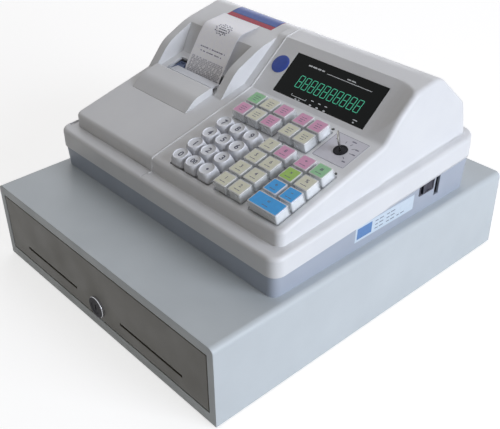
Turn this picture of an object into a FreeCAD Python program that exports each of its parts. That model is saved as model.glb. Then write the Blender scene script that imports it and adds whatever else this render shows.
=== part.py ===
import FreeCAD, Part
import math
import os
import re

import Sketcher
from FreeCAD import Placement, Rotation, Vector

# A ticket register on its cash drawer. X runs to the right, Y to the back and Z up, in millimetres.
# The origin is the middle of the footprint, on the surface that the feet stand on.

doc = FreeCAD.newDocument("TicketRegister")
sheet = doc.addObject("Spreadsheet::Sheet", "Sizes")

# Driving sizes

SIZES = {
    # cash drawer case, in bent steel sheet
    "case_width": 350.0,
    "case_depth": 402.0,
    "case_height": 88.0,
    "case_wall": 1.5,
    "case_bend": 6.0,
    "rim_side": 8.0,
    "rim_top": 10.0,
    "rim_bottom": 11.0,
    "rim_lip_depth": 8.0,
    "rim_lip_wall": 1.2,
    "keeper_width": 24.0,
    "keeper_rise": 9.0,
    "keeper_wall": 1.5,
    "foot_height": 2.0,
    "foot_radius": 9.0,
    "foot_inset": 26.0,
    # drawer front
    "front_gap": 1.2,
    "panel_wall": 2.0,
    "panel_return": 10.0,
    "panel_edge": 0.8,
    "slot_length": 94.0,
    "slot_height": 3.0,
    "slot_centre": 84.0,
    "slot_rise": 30.0,
    # drawer lock
    "lock_rise": 29.0,
    "lock_proud": 3.0,
    "lock_ring_radius": 11.5,
    "lock_ring_edge": 1.0,
    "lock_body_radius": 9.0,
    "lock_body_length": 9.3,
    "plug_radius": 7.0,
    "plug_recess": 0.3,
    "fit_clearance": 0.05,
    "keyway_width": 1.4,
    "keyway_height": 7.0,
    "keyway_depth": 3.0,
    "cam_length": 20.0,
    "cam_width": 8.0,
    "cam_wall": 1.5,
    "part_gap": 0.3,
    # drawer box and runners
    "box_side_gap": 12.5,
    "box_wall": 1.2,
    "box_floor_rise": 17.0,
    "box_top_drop": 14.0,
    "box_rear_space": 41.3,
    "floor_setback": 21.5,
    "shelf_rise": 34.0,
    "shelf_width": 8.0,
    "striker_gap": 7.0,
    "striker_bar": 3.0,
    "striker_width": 16.0,
    "striker_low": 40.0,
    "striker_high": 47.5,
    "striker_cheek": 2.0,
    "rail_rise": 48.0,
    "rail_height": 16.0,
    "rail_depth": 11.0,
    "rail_wall": 1.2,
    "rail_setback": 14.5,
    "rail_end_gap": 12.0,
    "runner_gap": 0.4,
    "runner_wall": 1.5,
    # cash tray
    "tray_gap": 1.2,
    "tray_front_gap": 3.5,
    "tray_height": 40.0,
    "tray_wall": 2.2,
    "coin_depth": 105.0,
    "coin_curve": 16.0,
    "tray_rear_space": 49.4,
    "clip_pivot_setback": 12.0,
    "clip_pivot_drop": 8.0,
    "clip_reach": 86.0,
    "clip_width": 16.0,
    "clip_wall": 1.6,
    "clip_barrel_radius": 3.2,
    "clip_pin_radius": 1.5,
    "clip_pin_length": 0.9,
    "clip_roll_radius": 3.0,
    "clip_side_gap": 0.6,
    # drawer latch
    "latch_pivot_setback": 12.5,
    "latch_pivot_z": 58.0,
    "latch_pin_radius": 2.0,
    "latch_barrel_radius": 4.0,
    "latch_wall": 3.0,
    "latch_arm_height": 6.0,
    "latch_tooth_width": 3.0,
    "latch_tooth_drop": 8.5,
    "latch_tooth_gap": 1.8,
    "bracket_side_gap": 0.5,
    "bracket_wall": 1.5,
    "bracket_reach": 18.0,
    "bracket_half_height": 7.0,
    "coil_width": 18.0,
    "coil_height": 16.0,
    "coil_reach": 24.0,
    "coil_lift": 9.0,
    # base shell of the register
    "base_left": 165.0,
    "base_right": 162.6,
    "base_front": -120.8,
    "base_rear": 159.0,
    "base_draft": 3.0,
    "base_corner": 9.0,
    "base_rear_corner": 17.0,
    "shell_wall": 2.5,
    "parting_front_z": 112.8,
    "parting_rear_z": 128.4,
    "switch_y": 85.0,
    "switch_low": 112.0,
    "switch_height": 10.0,
    "switch_length": 19.6,
    "switch_depth": 9.0,
    "switch_lug_wall": 1.3,
    "rocker_gap": 0.3,
    "rocker_length": 16.8,
    "rocker_depth": 7.0,
    "rocker_dip": 1.6,
    "rocker_pin_radius": 1.0,
    "rocker_pin_length": 0.9,
    "rocker_proud": 1.2,
    "rocker_tilt": 6.0,
    "side_slot_y": 102.5,
    "side_slot_width": 7.0,
    "side_slot_low": 101.0,
    "side_slot_high": 122.5,
    "inlet_width": 28.0,
    "inlet_height": 12.0,
    "inlet_rise": 8.0,
    "inlet_x": 110.0,
    # upper case: the band round its foot
    "band_left": 169.5,
    "band_right": 166.5,
    "band_front": -123.0,
    "band_rear": 162.5,
    "band_corner": 12.0,
    "band_rear_corner": 20.0,
    "band_wall": 3.5,
    "band_edge": 4.0,
    "ledge_front_z": 132.6,
    "ledge_rear_z": 151.0,
    "band_seam": 0.8,
    "grip_slot_x": -164.0,
    "grip_slot_width": 3.6,
    "grip_slot_front": -112.0,
    "grip_slot_length": 12.0,
    "grip_slot_depth": 1.4,
    # upper case: deck and hood
    "upper_left": 158.5,
    "upper_right": 156.0,
    "upper_front": -107.5,
    "upper_rear": 152.0,
    "upper_corner": 8.0,
    "upper_edge": 4.5,
    "deck_start": -116.0,
    "deck_start_z": 145.9,
    "deck_angle": 14.05,
    "crease_y": 24.5,
    "face_angle": 39.0,
    "cheek_knee_y": 43.0,
    "cheek_knee_z": 201.5,
    "cheek_top_y": 66.0,
    "cheek_top_z": 220.3,
    "ridge_y": 101.0,
    "ridge_z": 225.5,
    "rear_knee_y": 144.0,
    "rear_knee_z": 186.0,
    "rear_foot_z": 150.0,
    "knee_curve": 30.0,
    "cheek_curve": 14.0,
    "ridge_curve": 20.0,
    "crease_curve": 10.0,
    "cheek_start_x": 125.0,
    "cheek_crest_x": 153.0,
    "cheek_height": 5.0,
    "seam_x": -23.5,
    "seam_gap": 0.3,
    # keyboard
    "key_pitch": 19.4,
    "key_side": 17.8,
    "key_height": 10.0,
    "key_sink": 0.3,
    "key_draft": 3.5,
    "key_corner": 1.6,
    "key_edge": 0.7,
    "number_corner": 4.0,
    "number_draft": 5.0,
    "number_foot_radius": 12.4,
    "number_top_radius": 7.6,
    "dish_radius": 20.0,
    "dish_depth": 0.7,
    "stem_side": 7.0,
    "stem_length": 8.4,
    "stem_gap": 0.5,
    "pocket_depth": 3.6,
    "pocket_gap": 0.7,
    "pocket_corner": 2.0,
    "pocket_floor": 2.4,
    "number_column_x": 8.4,
    "middle_column_x": 72.6,
    "right_column_x": 117.9,
    "row_pitch": 18.9,
    "first_row": 24.3,
    "top_row": 106.6,
    # mode lock
    "mode_x": 124.5,
    "mode_rise": 119.1,
    "mode_radius": 6.9,
    "mode_gap": 0.1,
    "mode_collar_wall": 2.0,
    "mode_collar_drop": 7.0,
    "mode_plug_drop": 11.0,
    "mode_plug_proud": 1.0,
    "key_blade_wall": 2.0,
    "key_blade_width": 10.0,
    "key_blade_height": 21.0,
    "key_blade_angle": 40.0,
    "key_hole_radius": 2.0,
    # display
    "window_x": 64.0,
    "window_width": 120.0,
    "window_rise": 29.6,
    "window_height": 47.0,
    "window_wall": 2.0,
    "window_margin": 4.0,
    "window_gap": 0.1,
    "tube_width": 108.0,
    "tube_height": 36.0,
    "tube_depth": 10.0,
    "board_wall": 1.6,
    "display_board_drop": 14.0,
    "display_board_width": 136.0,
    "display_board_height": 58.0,
    "key_board_drop": 12.0,
    "key_board_left": -14.0,
    "key_board_right": 146.0,
    "key_board_near": 13.0,
    "key_board_far": 139.0,
    "post_radius": 2.4,
    "main_board_left": -8.0,
    "main_board_right": 140.0,
    "main_board_front": -90.0,
    "main_board_rear": 60.0,
    "main_board_rise": 4.5,
    "main_board_inset": 8.0,
    # printer cover
    "flank_x": -33.0,
    "left_arm_width": 14.0,
    "right_arm_width": 11.5,
    "arch_foot_y": -9.0,
    "arch_knee_y": 13.0,
    "arch_knee_z": 197.6,
    "arch_top_y": 46.5,
    "arch_top_z": 213.5,
    "arch_foot_curve": 4.0,
    "arch_knee_curve": 40.0,
    "arch_top_curve": 80.0,
    "mouth_back_y": 31.0,
    "mouth_lean": 26.0,
    "throat_left": -135.0,
    "throat_right": -55.0,
    "throat_front": -5.0,
    "throat_rear": 22.5,
    "cover_gap": 0.4,
    "hinge_y": 144.0,
    "hinge_z": 168.5,
    "hinge_pin_radius": 2.0,
    "hinge_ear_radius": 3.5,
    "hinge_ear_wall": 4.0,
    "hinge_lug_wall": 3.0,
    "hinge_inset": 16.0,
    "hinge_top_gap": 5.6,
    "hinge_front_gap": 4.5,
    "hinge_side_gap": 0.4,
    # printer
    "hump_front": -43.5,
    "hump_knee_y": -30.0,
    "hump_knee_z": 175.4,
    "hump_ridge_y": -9.0,
    "hump_ridge_z": 180.6,
    "hump_rear": -6.0,
    "hump_rear_drop": 1.2,
    "hump_left": -140.0,
    "hump_right": -48.7,
    "hump_curve": 24.0,
    "flange_left": -119.0,
    "flange_right": -51.0,
    "flange_depth": 10.5,
    "flange_wall": 1.5,
    "paper_width": 57.5,
    "paper_x": -93.25,
    "paper_wall": 0.3,
    "paper_lift": 0.4,
    "paper_bottom_z": 160.0,
    "paper_lean_y": 14.6,
    "paper_lean_z": 172.0,
    "paper_end_y": 76.0,
    "paper_curve": 10.0,
    "paper_bend": 22.0,
    "paper_bend_rise": 3.5,
    "platen_y": 6.0,
    "platen_z": 163.6,
    "platen_radius": 7.0,
    "platen_shaft_radius": 3.0,
    "platen_overhang": 2.0,
    "platen_rib_wall": 2.5,
    "platen_rib_reach": 6.0,
    "roll_radius": 33.0,
    "roll_core_radius": 6.5,
    "roll_y": 90.0,
    "roll_z": 151.0,
    "trough_radius": 36.5,
    "trough_wall": 2.5,
    "trough_side_gap": 1.0,
    "trough_top_z": 148.0,
    "frame_plate": 2.5,
    "frame_half_width": 42.0,
    "frame_front": -26.0,
    "frame_rear": 128.0,
    "head_front": -22.0,
    "head_rear": -1.4,
    "head_low": 140.0,
    "head_high": 164.0,
    "frame_rib_top": 156.0,
    "frame_rib_rear": 40.0,
    # one length past a face, for tools that cut right through
    "overrun": 6.0,
}

# Sizes that follow from the ones above

DERIVED = {
    "case_front": "-(case_depth + lock_proud) / 2 + lock_proud",
    "case_back": "case_front + case_depth",
    "latch_pivot_y": "case_back - latch_pivot_setback",
    "case_half": "case_width / 2",
    "cheek_run": "cheek_crest_x - cheek_start_x",
    "case_top": "foot_height + case_height",
    "panel_half": "case_half - rim_side - front_gap",
    "panel_low": "foot_height + rim_bottom + front_gap",
    "panel_high": "case_top - rim_top - front_gap",
    "panel_back": "case_front + panel_wall",
    "box_half": "case_half - case_wall - box_side_gap",
    "box_back": "case_back - box_rear_space",
    "box_top": "case_top - box_top_drop",
    "lock_back": "panel_back + lock_body_length",
    "cam_front": "lock_back + part_gap",
    "rail_web": "case_half - case_wall - rail_wall",
    "tray_half": "box_half - box_wall - tray_gap",
    "tray_front": "case_front + panel_return + tray_front_gap",
    "tray_rear": "box_back - box_wall - tray_rear_space",
    "bill_depth": "tray_rear - tray_front - 3 * tray_wall - coin_depth",
    "tray_top": "shelf_rise + tray_height",
    "coin_width": "(2 * tray_half - 6 * tray_wall) / 5",
    "bill_width": "(2 * tray_half - 5 * tray_wall) / 4",
    "bill_front": "tray_front + 2 * tray_wall + coin_depth",
    "clip_pivot_y": "tray_rear - tray_wall - clip_pivot_setback",
    "clip_pivot_z": "tray_top - clip_pivot_drop",
    "clip_tip_y": "clip_pivot_y - clip_reach",
    "clip_tip_z": "shelf_rise + tray_wall + part_gap + clip_roll_radius",
    "parting_slope": "(parting_rear_z - parting_front_z) / (band_rear - band_front)",
    "ledge_slope": "(ledge_rear_z - ledge_front_z) / (band_rear - band_front)",
    "base_top": "ledge_rear_z",
    "wall_x": "base_right + tan(base_draft) * (switch_low - case_top)",
    "deck_cos": "cos(deck_angle)",
    "deck_sin": "sin(deck_angle)",
    "deck_tan": "tan(deck_angle)",
    "face_cos": "cos(face_angle)",
    "face_tan": "tan(face_angle)",
    "crease_z": "deck_start_z + (crease_y - deck_start) * deck_tan",
    "deck_length": "(crease_y - deck_start) / deck_cos",
    "crest_slope": "(ridge_z - cheek_top_z) / (ridge_y - cheek_top_y)",
    "visor_y": "crease_y + (cheek_top_z - crease_z + (crease_y - cheek_top_y) * crest_slope) / (face_tan - crest_slope)",
    "visor_z": "crease_z + (visor_y - crease_y) * face_tan",
    "inner_front": "upper_front + shell_wall",
    "inner_deck_drop": "shell_wall / deck_cos",
    "inner_face_drop": "shell_wall / face_cos",
    "inner_crease_y": "crease_y + (inner_face_drop - inner_deck_drop) / (face_tan - deck_tan)",
    "inner_crease_z": "crease_z + (inner_crease_y - crease_y) * deck_tan - inner_deck_drop",
    "inner_ridge_z": "ridge_z - 2.4 * shell_wall",
    "rear_slope": "(upper_rear - rear_knee_y) / (rear_knee_z - rear_foot_z)",
    "shell_foot": "parting_front_z - 2 * shell_wall",
    "cover_right": "seam_x - seam_gap",
    "mouth_left": "-upper_left + left_arm_width",
    "mouth_right": "flank_x - right_arm_width",
    "mouth_back_z": "deck_start_z + (mouth_back_y - deck_start) * deck_tan",
    "mouth_tan": "tan(mouth_lean)",
    "mouth_cos": "cos(mouth_lean)",
    "arch_foot_z": "deck_start_z + (arch_foot_y - deck_start) * deck_tan",
    "arch_slope": "(ridge_z - arch_top_z) / (ridge_y - arch_top_y)",
    "mouth_top_y": "mouth_back_y + (arch_top_z - mouth_back_z) * mouth_tan",
    "split_y": "hinge_y - hinge_front_gap",
    "split_z": "hinge_z - hinge_top_gap",
    "cover_foot_z": "split_z + hinge_top_gap / 2",
    "cover_inner_x": "cover_right - shell_wall",
    "trough_z": "roll_z + trough_radius - roll_radius - part_gap",
    "paper_left": "paper_x - paper_width / 2",
    "paper_right": "paper_x + paper_width / 2",
    "base_floor_z": "case_top + shell_wall",
    "number_span": "2 * key_pitch + key_side",
    "pair_span": "key_pitch + key_side",
}

# Where the three column groups, the rows of each key block and the posts stand
PAIR_COLUMNS = (0, 1)
NUMBER_COLUMNS = (0, 1, 2)
LOWER_ROWS = (0, 1, 2, 3)
UPPER_ROWS = (0, 1)

ALIASES = set(SIZES) | set(DERIVED)
WORD = re.compile(r"[a-z][a-z_0-9]*")
NEAR = 1e-3


def fill_sheet():
    """Write every size into the sheet under its own name."""
    row = 0
    for alias, amount in SIZES.items():
        row += 1
        sheet.set("A%d" % row, alias.replace("_", " "))
        sheet.set("B%d" % row, str(amount))
        sheet.setAlias("B%d" % row, alias)
    for alias, rule in DERIVED.items():
        row += 1
        sheet.set("A%d" % row, alias.replace("_", " "))
        sheet.set("B%d" % row, "=" + rule)
        sheet.setAlias("B%d" % row, alias)
    doc.recompute()


def bound(rule):
    """Give a formula of size names the form that an object outside the sheet needs."""
    return WORD.sub(lambda word: "Sizes." + word.group() if word.group() in ALIASES else word.group(), str(rule))


def measure(rule):
    """Work out a formula of size names as a number."""
    return float(sheet.evalExpression(bound(rule)))


def tie(item, field, rule):
    """Tie one property of an object to the sheet."""
    item.setExpression(field, bound(rule))


def settle(item):
    """Recompute the document and hand the object back."""
    doc.recompute()
    return item


# Simple solids

def box(name, across, along, up):
    """A block between two places on each axis."""
    item = doc.addObject("Part::Box", name)
    for field, axis, (low, high) in zip(("Length", "Width", "Height"), "xyz", (across, along, up)):
        tie(item, field, "(%s) - (%s)" % (high, low))
        tie(item, "Placement.Base." + axis, low)
    return item


TURNS = {
    "x": Rotation(Vector(0, 1, 0), 90),
    "y": Rotation(Vector(1, 0, 0), -90),
    "z": Rotation(),
}


def rod(name, axis, radius, start, end, first, second):
    """A cylinder along an axis, between two places on it; first and second place it on the other two axes."""
    item = doc.addObject("Part::Cylinder", name)
    item.Placement = Placement(Vector(), TURNS[axis])
    tie(item, "Radius", radius)
    tie(item, "Height", "(%s) - (%s)" % (end, start))
    others = [letter for letter in "xyz" if letter != axis]
    for letter, place in zip([axis] + others, (start, first, second)):
        tie(item, "Placement.Base." + letter, place)
    return item


PLANES = {"xy": "XY_Plane", "xz": "XZ_Plane", "yz": "YZ_Plane"}


def spot(plane, first, second, height):
    """The point of space at two places in a plane and one across it."""
    places = {"xy": (first, second, height), "xz": (first, height, second), "yz": (height, first, second)}
    return Vector(*places[plane])


def outline_sketch(body, name, plane, outline):
    """A closed outline on one of the body's own planes, with every corner tied to the sheet."""
    sketch = body.newObject("Sketcher::SketchObject", name)
    sketch.AttachmentSupport = [(side, "") for side in body.Origin.OriginFeatures if side.Role == PLANES[plane]]
    sketch.MapMode = "FlatFace"
    corners = [(measure(corner[0]), measure(corner[1])) for corner in outline]
    count = len(corners)
    for index in range(count):
        start, end = corners[index], corners[(index + 1) % count]
        sketch.addGeometry(Part.LineSegment(Vector(*start, 0), Vector(*end, 0)))
    for index in range(count):
        sketch.addConstraint(Sketcher.Constraint("Coincident", index, 2, (index + 1) % count, 1))
    for index in range(count):
        for part, kind in enumerate(("DistanceX", "DistanceY")):
            number = sketch.addConstraint(Sketcher.Constraint(kind, -1, 1, index, 1, corners[index][part]))
            tie(sketch, "Constraints[%d]" % number, outline[index][part])
    return sketch


def corner_edges(shape, plane, corner, height):
    """The edges that leave the outline's plane at one of its corners."""
    at = spot(plane, corner[0], corner[1], height)
    found = []
    for number, edge in enumerate(shape.Edges, 1):
        ends = [vertex.Point for vertex in edge.Vertexes]
        if len(ends) != 2:
            continue
        near, far = sorted(ends, key=at.distanceToPoint)
        leaves = abs((far - at).dot(spot(plane, 0, 0, 1))) > NEAR
        if near.distanceToPoint(at) < NEAR and leaves:
            found.append("Edge%d" % number)
    return found


def prism(name, plane, outline, start, end, draft=None):
    """A body: an outline of (place, place) or (place, place, corner radius), padded between two places."""
    body = doc.addObject("PartDesign::Body", name)
    sketch = outline_sketch(body, name + "Outline", plane, outline)
    base = "-(%s)" % end if plane == "xz" else start
    tie(sketch, "AttachmentOffset.Base.z", base)
    pad = body.newObject("PartDesign::Pad", name + "Pad")
    pad.Profile = sketch
    tie(pad, "Length", "(%s) - (%s)" % (end, start))
    if draft:
        tie(pad, "TaperAngle", draft)
    doc.recompute()
    height = measure(end if plane == "xz" else start)
    radii = list(dict.fromkeys(corner[2] for corner in outline if len(corner) > 2))
    for number, radius in enumerate(radii):
        picks = []
        for corner in outline:
            if len(corner) > 2 and corner[2] == radius:
                place = (measure(corner[0]), measure(corner[1]))
                picks += corner_edges(body.Tip.Shape, plane, place, height)
        round_body(body, name + "Corner%d" % number, radius, picks)
    return body


def round_body(body, name, radius, picks):
    """Round the picked edges of a body's last feature."""
    base = body.Tip
    fillet = body.newObject("PartDesign::Fillet", name)
    fillet.Base = (base, picks)
    tie(fillet, "Radius", radius)
    return settle(fillet)


def edges_where(shape, test):
    """The names of a shape's edges that pass a test of their two farthest corners."""
    found = []
    for number, edge in enumerate(shape.Edges, 1):
        limits = edge.BoundBox
        low = Vector(limits.XMin, limits.YMin, limits.ZMin)
        high = Vector(limits.XMax, limits.YMax, limits.ZMax)
        if test(low, high):
            found.append("Edge%d" % number)
    return found


# Booleans, groups and places

def fuse(name, *pieces):
    """Several solids made one."""
    item = doc.addObject("Part::MultiFuse", name)
    item.Shapes = list(pieces)
    item.Refine = True
    return item


def cut(name, base, *tools):
    """A solid with others taken out of it."""
    tool = tools[0] if len(tools) == 1 else fuse(name + "Tools", *tools)
    item = doc.addObject("Part::Cut", name)
    item.Base = base
    item.Tool = tool
    return item


def shared(name, *pieces):
    """What several solids have in common."""
    item = doc.addObject("Part::MultiCommon", name)
    item.Shapes = list(pieces)
    return item


def mirror(name, source):
    """The same piece on the other side of the middle plane."""
    item = doc.addObject("Part::Mirroring", name)
    item.Source = source
    item.Normal = Vector(1, 0, 0)
    return item


def group(name, pieces):
    """Separate solids kept under one name."""
    item = doc.addObject("Part::Compound", name)
    item.Links = list(pieces)
    return item


def lay(item, angle, across, along, up):
    """Turn a piece back by a slope about X and set its own origin at a place."""
    item.Placement = Placement(Vector(), Rotation(Vector(1, 0, 0), measure(angle)))
    tie(item, "Placement.Rotation.Angle", angle)
    for letter, place in zip("xyz", (across, along, up)):
        tie(item, "Placement.Base." + letter, place)
    return item


def on_deck(item, across="0", rise="0", lift="0"):
    """Lay a piece on the sloping deck: rise runs up the slope from its front edge, lift stands square to it."""
    along = "deck_start + (%s) * deck_cos - (%s) * deck_sin" % (rise, lift)
    up = "deck_start_z + (%s) * deck_sin + (%s) * deck_cos" % (rise, lift)
    return lay(item, "deck_angle", across, along, up)


def on_face(item, across="0"):
    """Lay a piece on the display face: its Y runs up the face from the crease, its Z stands square to it."""
    return lay(item, "face_angle", across, "crease_y", "crease_z")


def parting_z(along):
    """Height of the line where base and upper case meet."""
    return "(parting_front_z + ((%s) - band_front) * parting_slope)" % along


def ledge_z(along):
    """Height of the ledge round the upper case."""
    return "(ledge_front_z + ((%s) - band_front) * ledge_slope)" % along


def deck_z(along):
    """Height of the deck."""
    return "(deck_start_z + ((%s) - deck_start) * deck_tan)" % along


PARTS = []


def part(label, item):
    """Name a finished sub-part."""
    item.Label = label
    PARTS.append(item)
    return item


# Cash drawer case

def make_case():
    """Bent steel case with a rim round its mouth and a keeper for the lock's cam."""
    low, high = "foot_height", "case_top"
    block = prism("CaseBlock", "xz", [("-case_half", low), ("case_half", low), ("case_half", high, "case_bend"),
                                      ("-case_half", high, "case_bend")], "case_front", "case_back")
    inner = "case_bend - case_wall"
    hollow = prism("CaseHollow", "xz", [("-case_half + case_wall", "foot_height + case_wall"),
                                        ("case_half - case_wall", "foot_height + case_wall"),
                                        ("case_half - case_wall", "case_top - case_wall", inner),
                                        ("-case_half + case_wall", "case_top - case_wall", inner)],
                   "case_front + case_wall", "case_back - case_wall")
    mouth = box("CaseMouth", ("-case_half + rim_side", "case_half - rim_side"),
                ("case_front - overrun", "case_front + rim_lip_depth + overrun"),
                ("foot_height + rim_bottom", "case_top - rim_top"))
    lip = box("CaseLip", ("-case_half + rim_side - rim_lip_wall", "case_half - rim_side + rim_lip_wall"),
              ("case_front + case_wall", "case_front + rim_lip_depth"),
              ("foot_height + rim_bottom - rim_lip_wall", "case_top - rim_top + rim_lip_wall"))
    keeper = box("CaseKeeper", ("-keeper_width / 2", "keeper_width / 2"),
                 ("cam_front - part_gap - 2 * keeper_wall", "cam_front - part_gap - keeper_wall"),
                 ("foot_height + case_wall", "foot_height + case_wall + keeper_rise"))
    shell = cut("CaseShell", block, hollow)
    part("drawer_case", cut("DrawerCase", fuse("CaseWithLip", shell, lip, keeper), mouth))

    feet = []
    for side in (-1, 1):
        for end, along in (("Front", "case_front + foot_inset"), ("Rear", "case_back - foot_inset")):
            feet.append(rod("Foot%s%d" % (end, side + 1), "z", "foot_radius", "0", "foot_height",
                            "%d * (case_half - foot_inset)" % side, along))
    part("rubber_feet", group("RubberFeet", feet))


def make_case_rails():
    """Two channels on the case's walls that carry the drawer's runners."""
    block = box("RailBlock", ("rail_web + rail_wall - rail_depth", "rail_web + rail_wall"),
                ("case_front + rail_setback", "case_back - rail_end_gap"),
                ("rail_rise - rail_height / 2", "rail_rise + rail_height / 2"))
    groove = box("RailGroove", ("rail_web + rail_wall - rail_depth - overrun", "rail_web"),
                 ("case_front", "case_back"),
                 ("rail_rise - rail_height / 2 + rail_wall", "rail_rise + rail_height / 2 - rail_wall"))
    rail = cut("CaseRail", block, groove)
    part("case_rails", group("CaseRails", [rail, mirror("CaseRailLeft", rail)]))


# Drawer

def make_drawer_box():
    """Steel drawer box with shelves for the tray, a striker behind and a runner on each side."""
    block = box("BoxBlock", ("-box_half", "box_half"), ("panel_back", "box_back"), ("box_floor_rise", "box_top"))
    hollow = box("BoxHollow", ("-box_half + box_wall", "box_half - box_wall"),
                 ("panel_back - overrun", "box_back - box_wall"), ("box_floor_rise + box_wall", "box_top + overrun"))
    front = box("BoxFrontGap", ("-box_half + box_wall", "box_half - box_wall"),
                ("panel_back - overrun", "panel_back + floor_setback"),
                ("box_floor_rise - overrun", "box_top + overrun"))
    tub = cut("BoxTub", block, hollow, front)
    shelf = box("BoxShelf", ("box_half - box_wall - shelf_width", "box_half - box_wall"),
                ("tray_front", "tray_rear"), ("shelf_rise - box_wall", "shelf_rise"))
    cheek = box("StrikerCheek", ("striker_width / 2", "striker_width / 2 + striker_cheek"),
                ("box_back", "box_back + striker_gap + striker_bar"), ("striker_low", "striker_high"))
    bar = box("StrikerBar", ("-striker_width / 2 - striker_cheek", "striker_width / 2 + striker_cheek"),
              ("box_back + striker_gap", "box_back + striker_gap + striker_bar"), ("striker_low", "striker_high"))
    tub = fuse("BoxBody", tub, shelf, mirror("BoxShelfLeft", shelf), cheek, mirror("StrikerCheekLeft", cheek), bar)
    half = "(rail_height / 2 - rail_wall - runner_gap)"
    block = box("RunnerBlock", ("box_half", "case_half - rim_side - runner_gap"), ("case_front + rail_setback", "box_back"),
                ("rail_rise - " + half, "rail_rise + " + half))
    groove = box("RunnerGroove", ("box_half + runner_wall", "rail_web + overrun"),
                 ("case_front", "box_back + overrun"),
                 ("rail_rise - %s + runner_wall" % half, "rail_rise + %s - runner_wall" % half))
    runner = cut("Runner", block, groove)
    part("drawer_box", group("DrawerBox", [tub, runner, mirror("RunnerLeft", runner)]))


def make_drawer_front():
    """Folded steel front with two slots for cheques and notes and a hole for the lock."""
    block = box("PanelBlock", ("-panel_half", "panel_half"), ("case_front", "case_front + panel_return"),
                ("panel_low", "panel_high"))
    hollow = box("PanelHollow", ("-panel_half + panel_wall", "panel_half - panel_wall"),
                 ("panel_back", "panel_back + panel_return"), ("panel_low + panel_wall", "panel_high - panel_wall"))
    tools = [hollow]
    for side in (-1, 1):
        middle = "%d * slot_centre" % side
        tools.append(box("MediaSlot%d" % (side + 1), (middle + " - slot_length / 2", middle + " + slot_length / 2"),
                         ("case_front - overrun", "case_front + overrun"),
                         ("slot_rise - slot_height / 2", "slot_rise + slot_height / 2")))
    tools.append(rod("LockHole", "y", "lock_body_radius + fit_clearance", "case_front - overrun",
                     "case_front + overrun", "0", "lock_rise"))
    panel = settle(cut("PanelCut", block, *tools))
    face_y = measure("case_front")
    wide = measure("panel_high - panel_low") - NEAR
    rims = []
    for number, edge in enumerate(panel.Shape.Edges, 1):
        limits = edge.BoundBox
        if limits.YMax < face_y + NEAR and edge.Length > wide and abs(limits.Center.z) > NEAR:
            rims.append((number, limits))
    outer = [number for number, limits in rims
             if limits.ZLength > wide or abs(limits.XLength - measure("2 * panel_half")) < NEAR]
    rounded = doc.addObject("Part::Fillet", "PanelRounded")
    rounded.Base = panel
    rounded.Edges = [(number, measure("panel_edge"), measure("panel_edge")) for number in outer]
    part("drawer_front", rounded)


def make_lock():
    """Barrel with a bright ring on the drawer front, and the plug and cam that turn in it."""
    ring = rod("LockRing", "y", "lock_ring_radius", "case_front - lock_proud", "case_front", "0", "lock_rise")
    sleeve = rod("LockSleeve", "y", "lock_body_radius", "case_front", "lock_back", "0", "lock_rise")
    bore = rod("LockBore", "y", "plug_radius + fit_clearance", "case_front - lock_proud - overrun",
               "lock_back + overrun", "0", "lock_rise")
    barrel = settle(cut("LockBarrelSharp", fuse("LockBarrelBody", ring, sleeve), bore))
    rim_y = measure("case_front - lock_proud")
    radius = measure("lock_ring_radius")
    picks = [number for number, edge in enumerate(barrel.Shape.Edges, 1)
             if edge.BoundBox.YMax < rim_y + NEAR and edge.BoundBox.XMax > radius - NEAR]
    rounded = doc.addObject("Part::Fillet", "LockBarrel")
    rounded.Base = barrel
    rounded.Edges = [(number, measure("lock_ring_edge"), measure("lock_ring_edge")) for number in picks]
    part("lock_barrel", rounded)

    plug = rod("PlugBody", "y", "plug_radius", "case_front - lock_proud + plug_recess", "cam_front", "0",
               "lock_rise")
    cam = box("LockCam", ("-cam_width / 2", "cam_length"), ("cam_front", "cam_front + cam_wall"),
              ("lock_rise - cam_width / 2", "lock_rise + cam_width / 2"))
    keyway = box("Keyway", ("-keyway_width / 2", "keyway_width / 2"),
                 ("case_front - lock_proud - overrun", "case_front - lock_proud + plug_recess + keyway_depth"),
                 ("lock_rise - keyway_height / 2", "lock_rise + keyway_height / 2"))
    part("lock_plug", cut("LockPlug", fuse("PlugAndCam", plug, cam), keyway))


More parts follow.
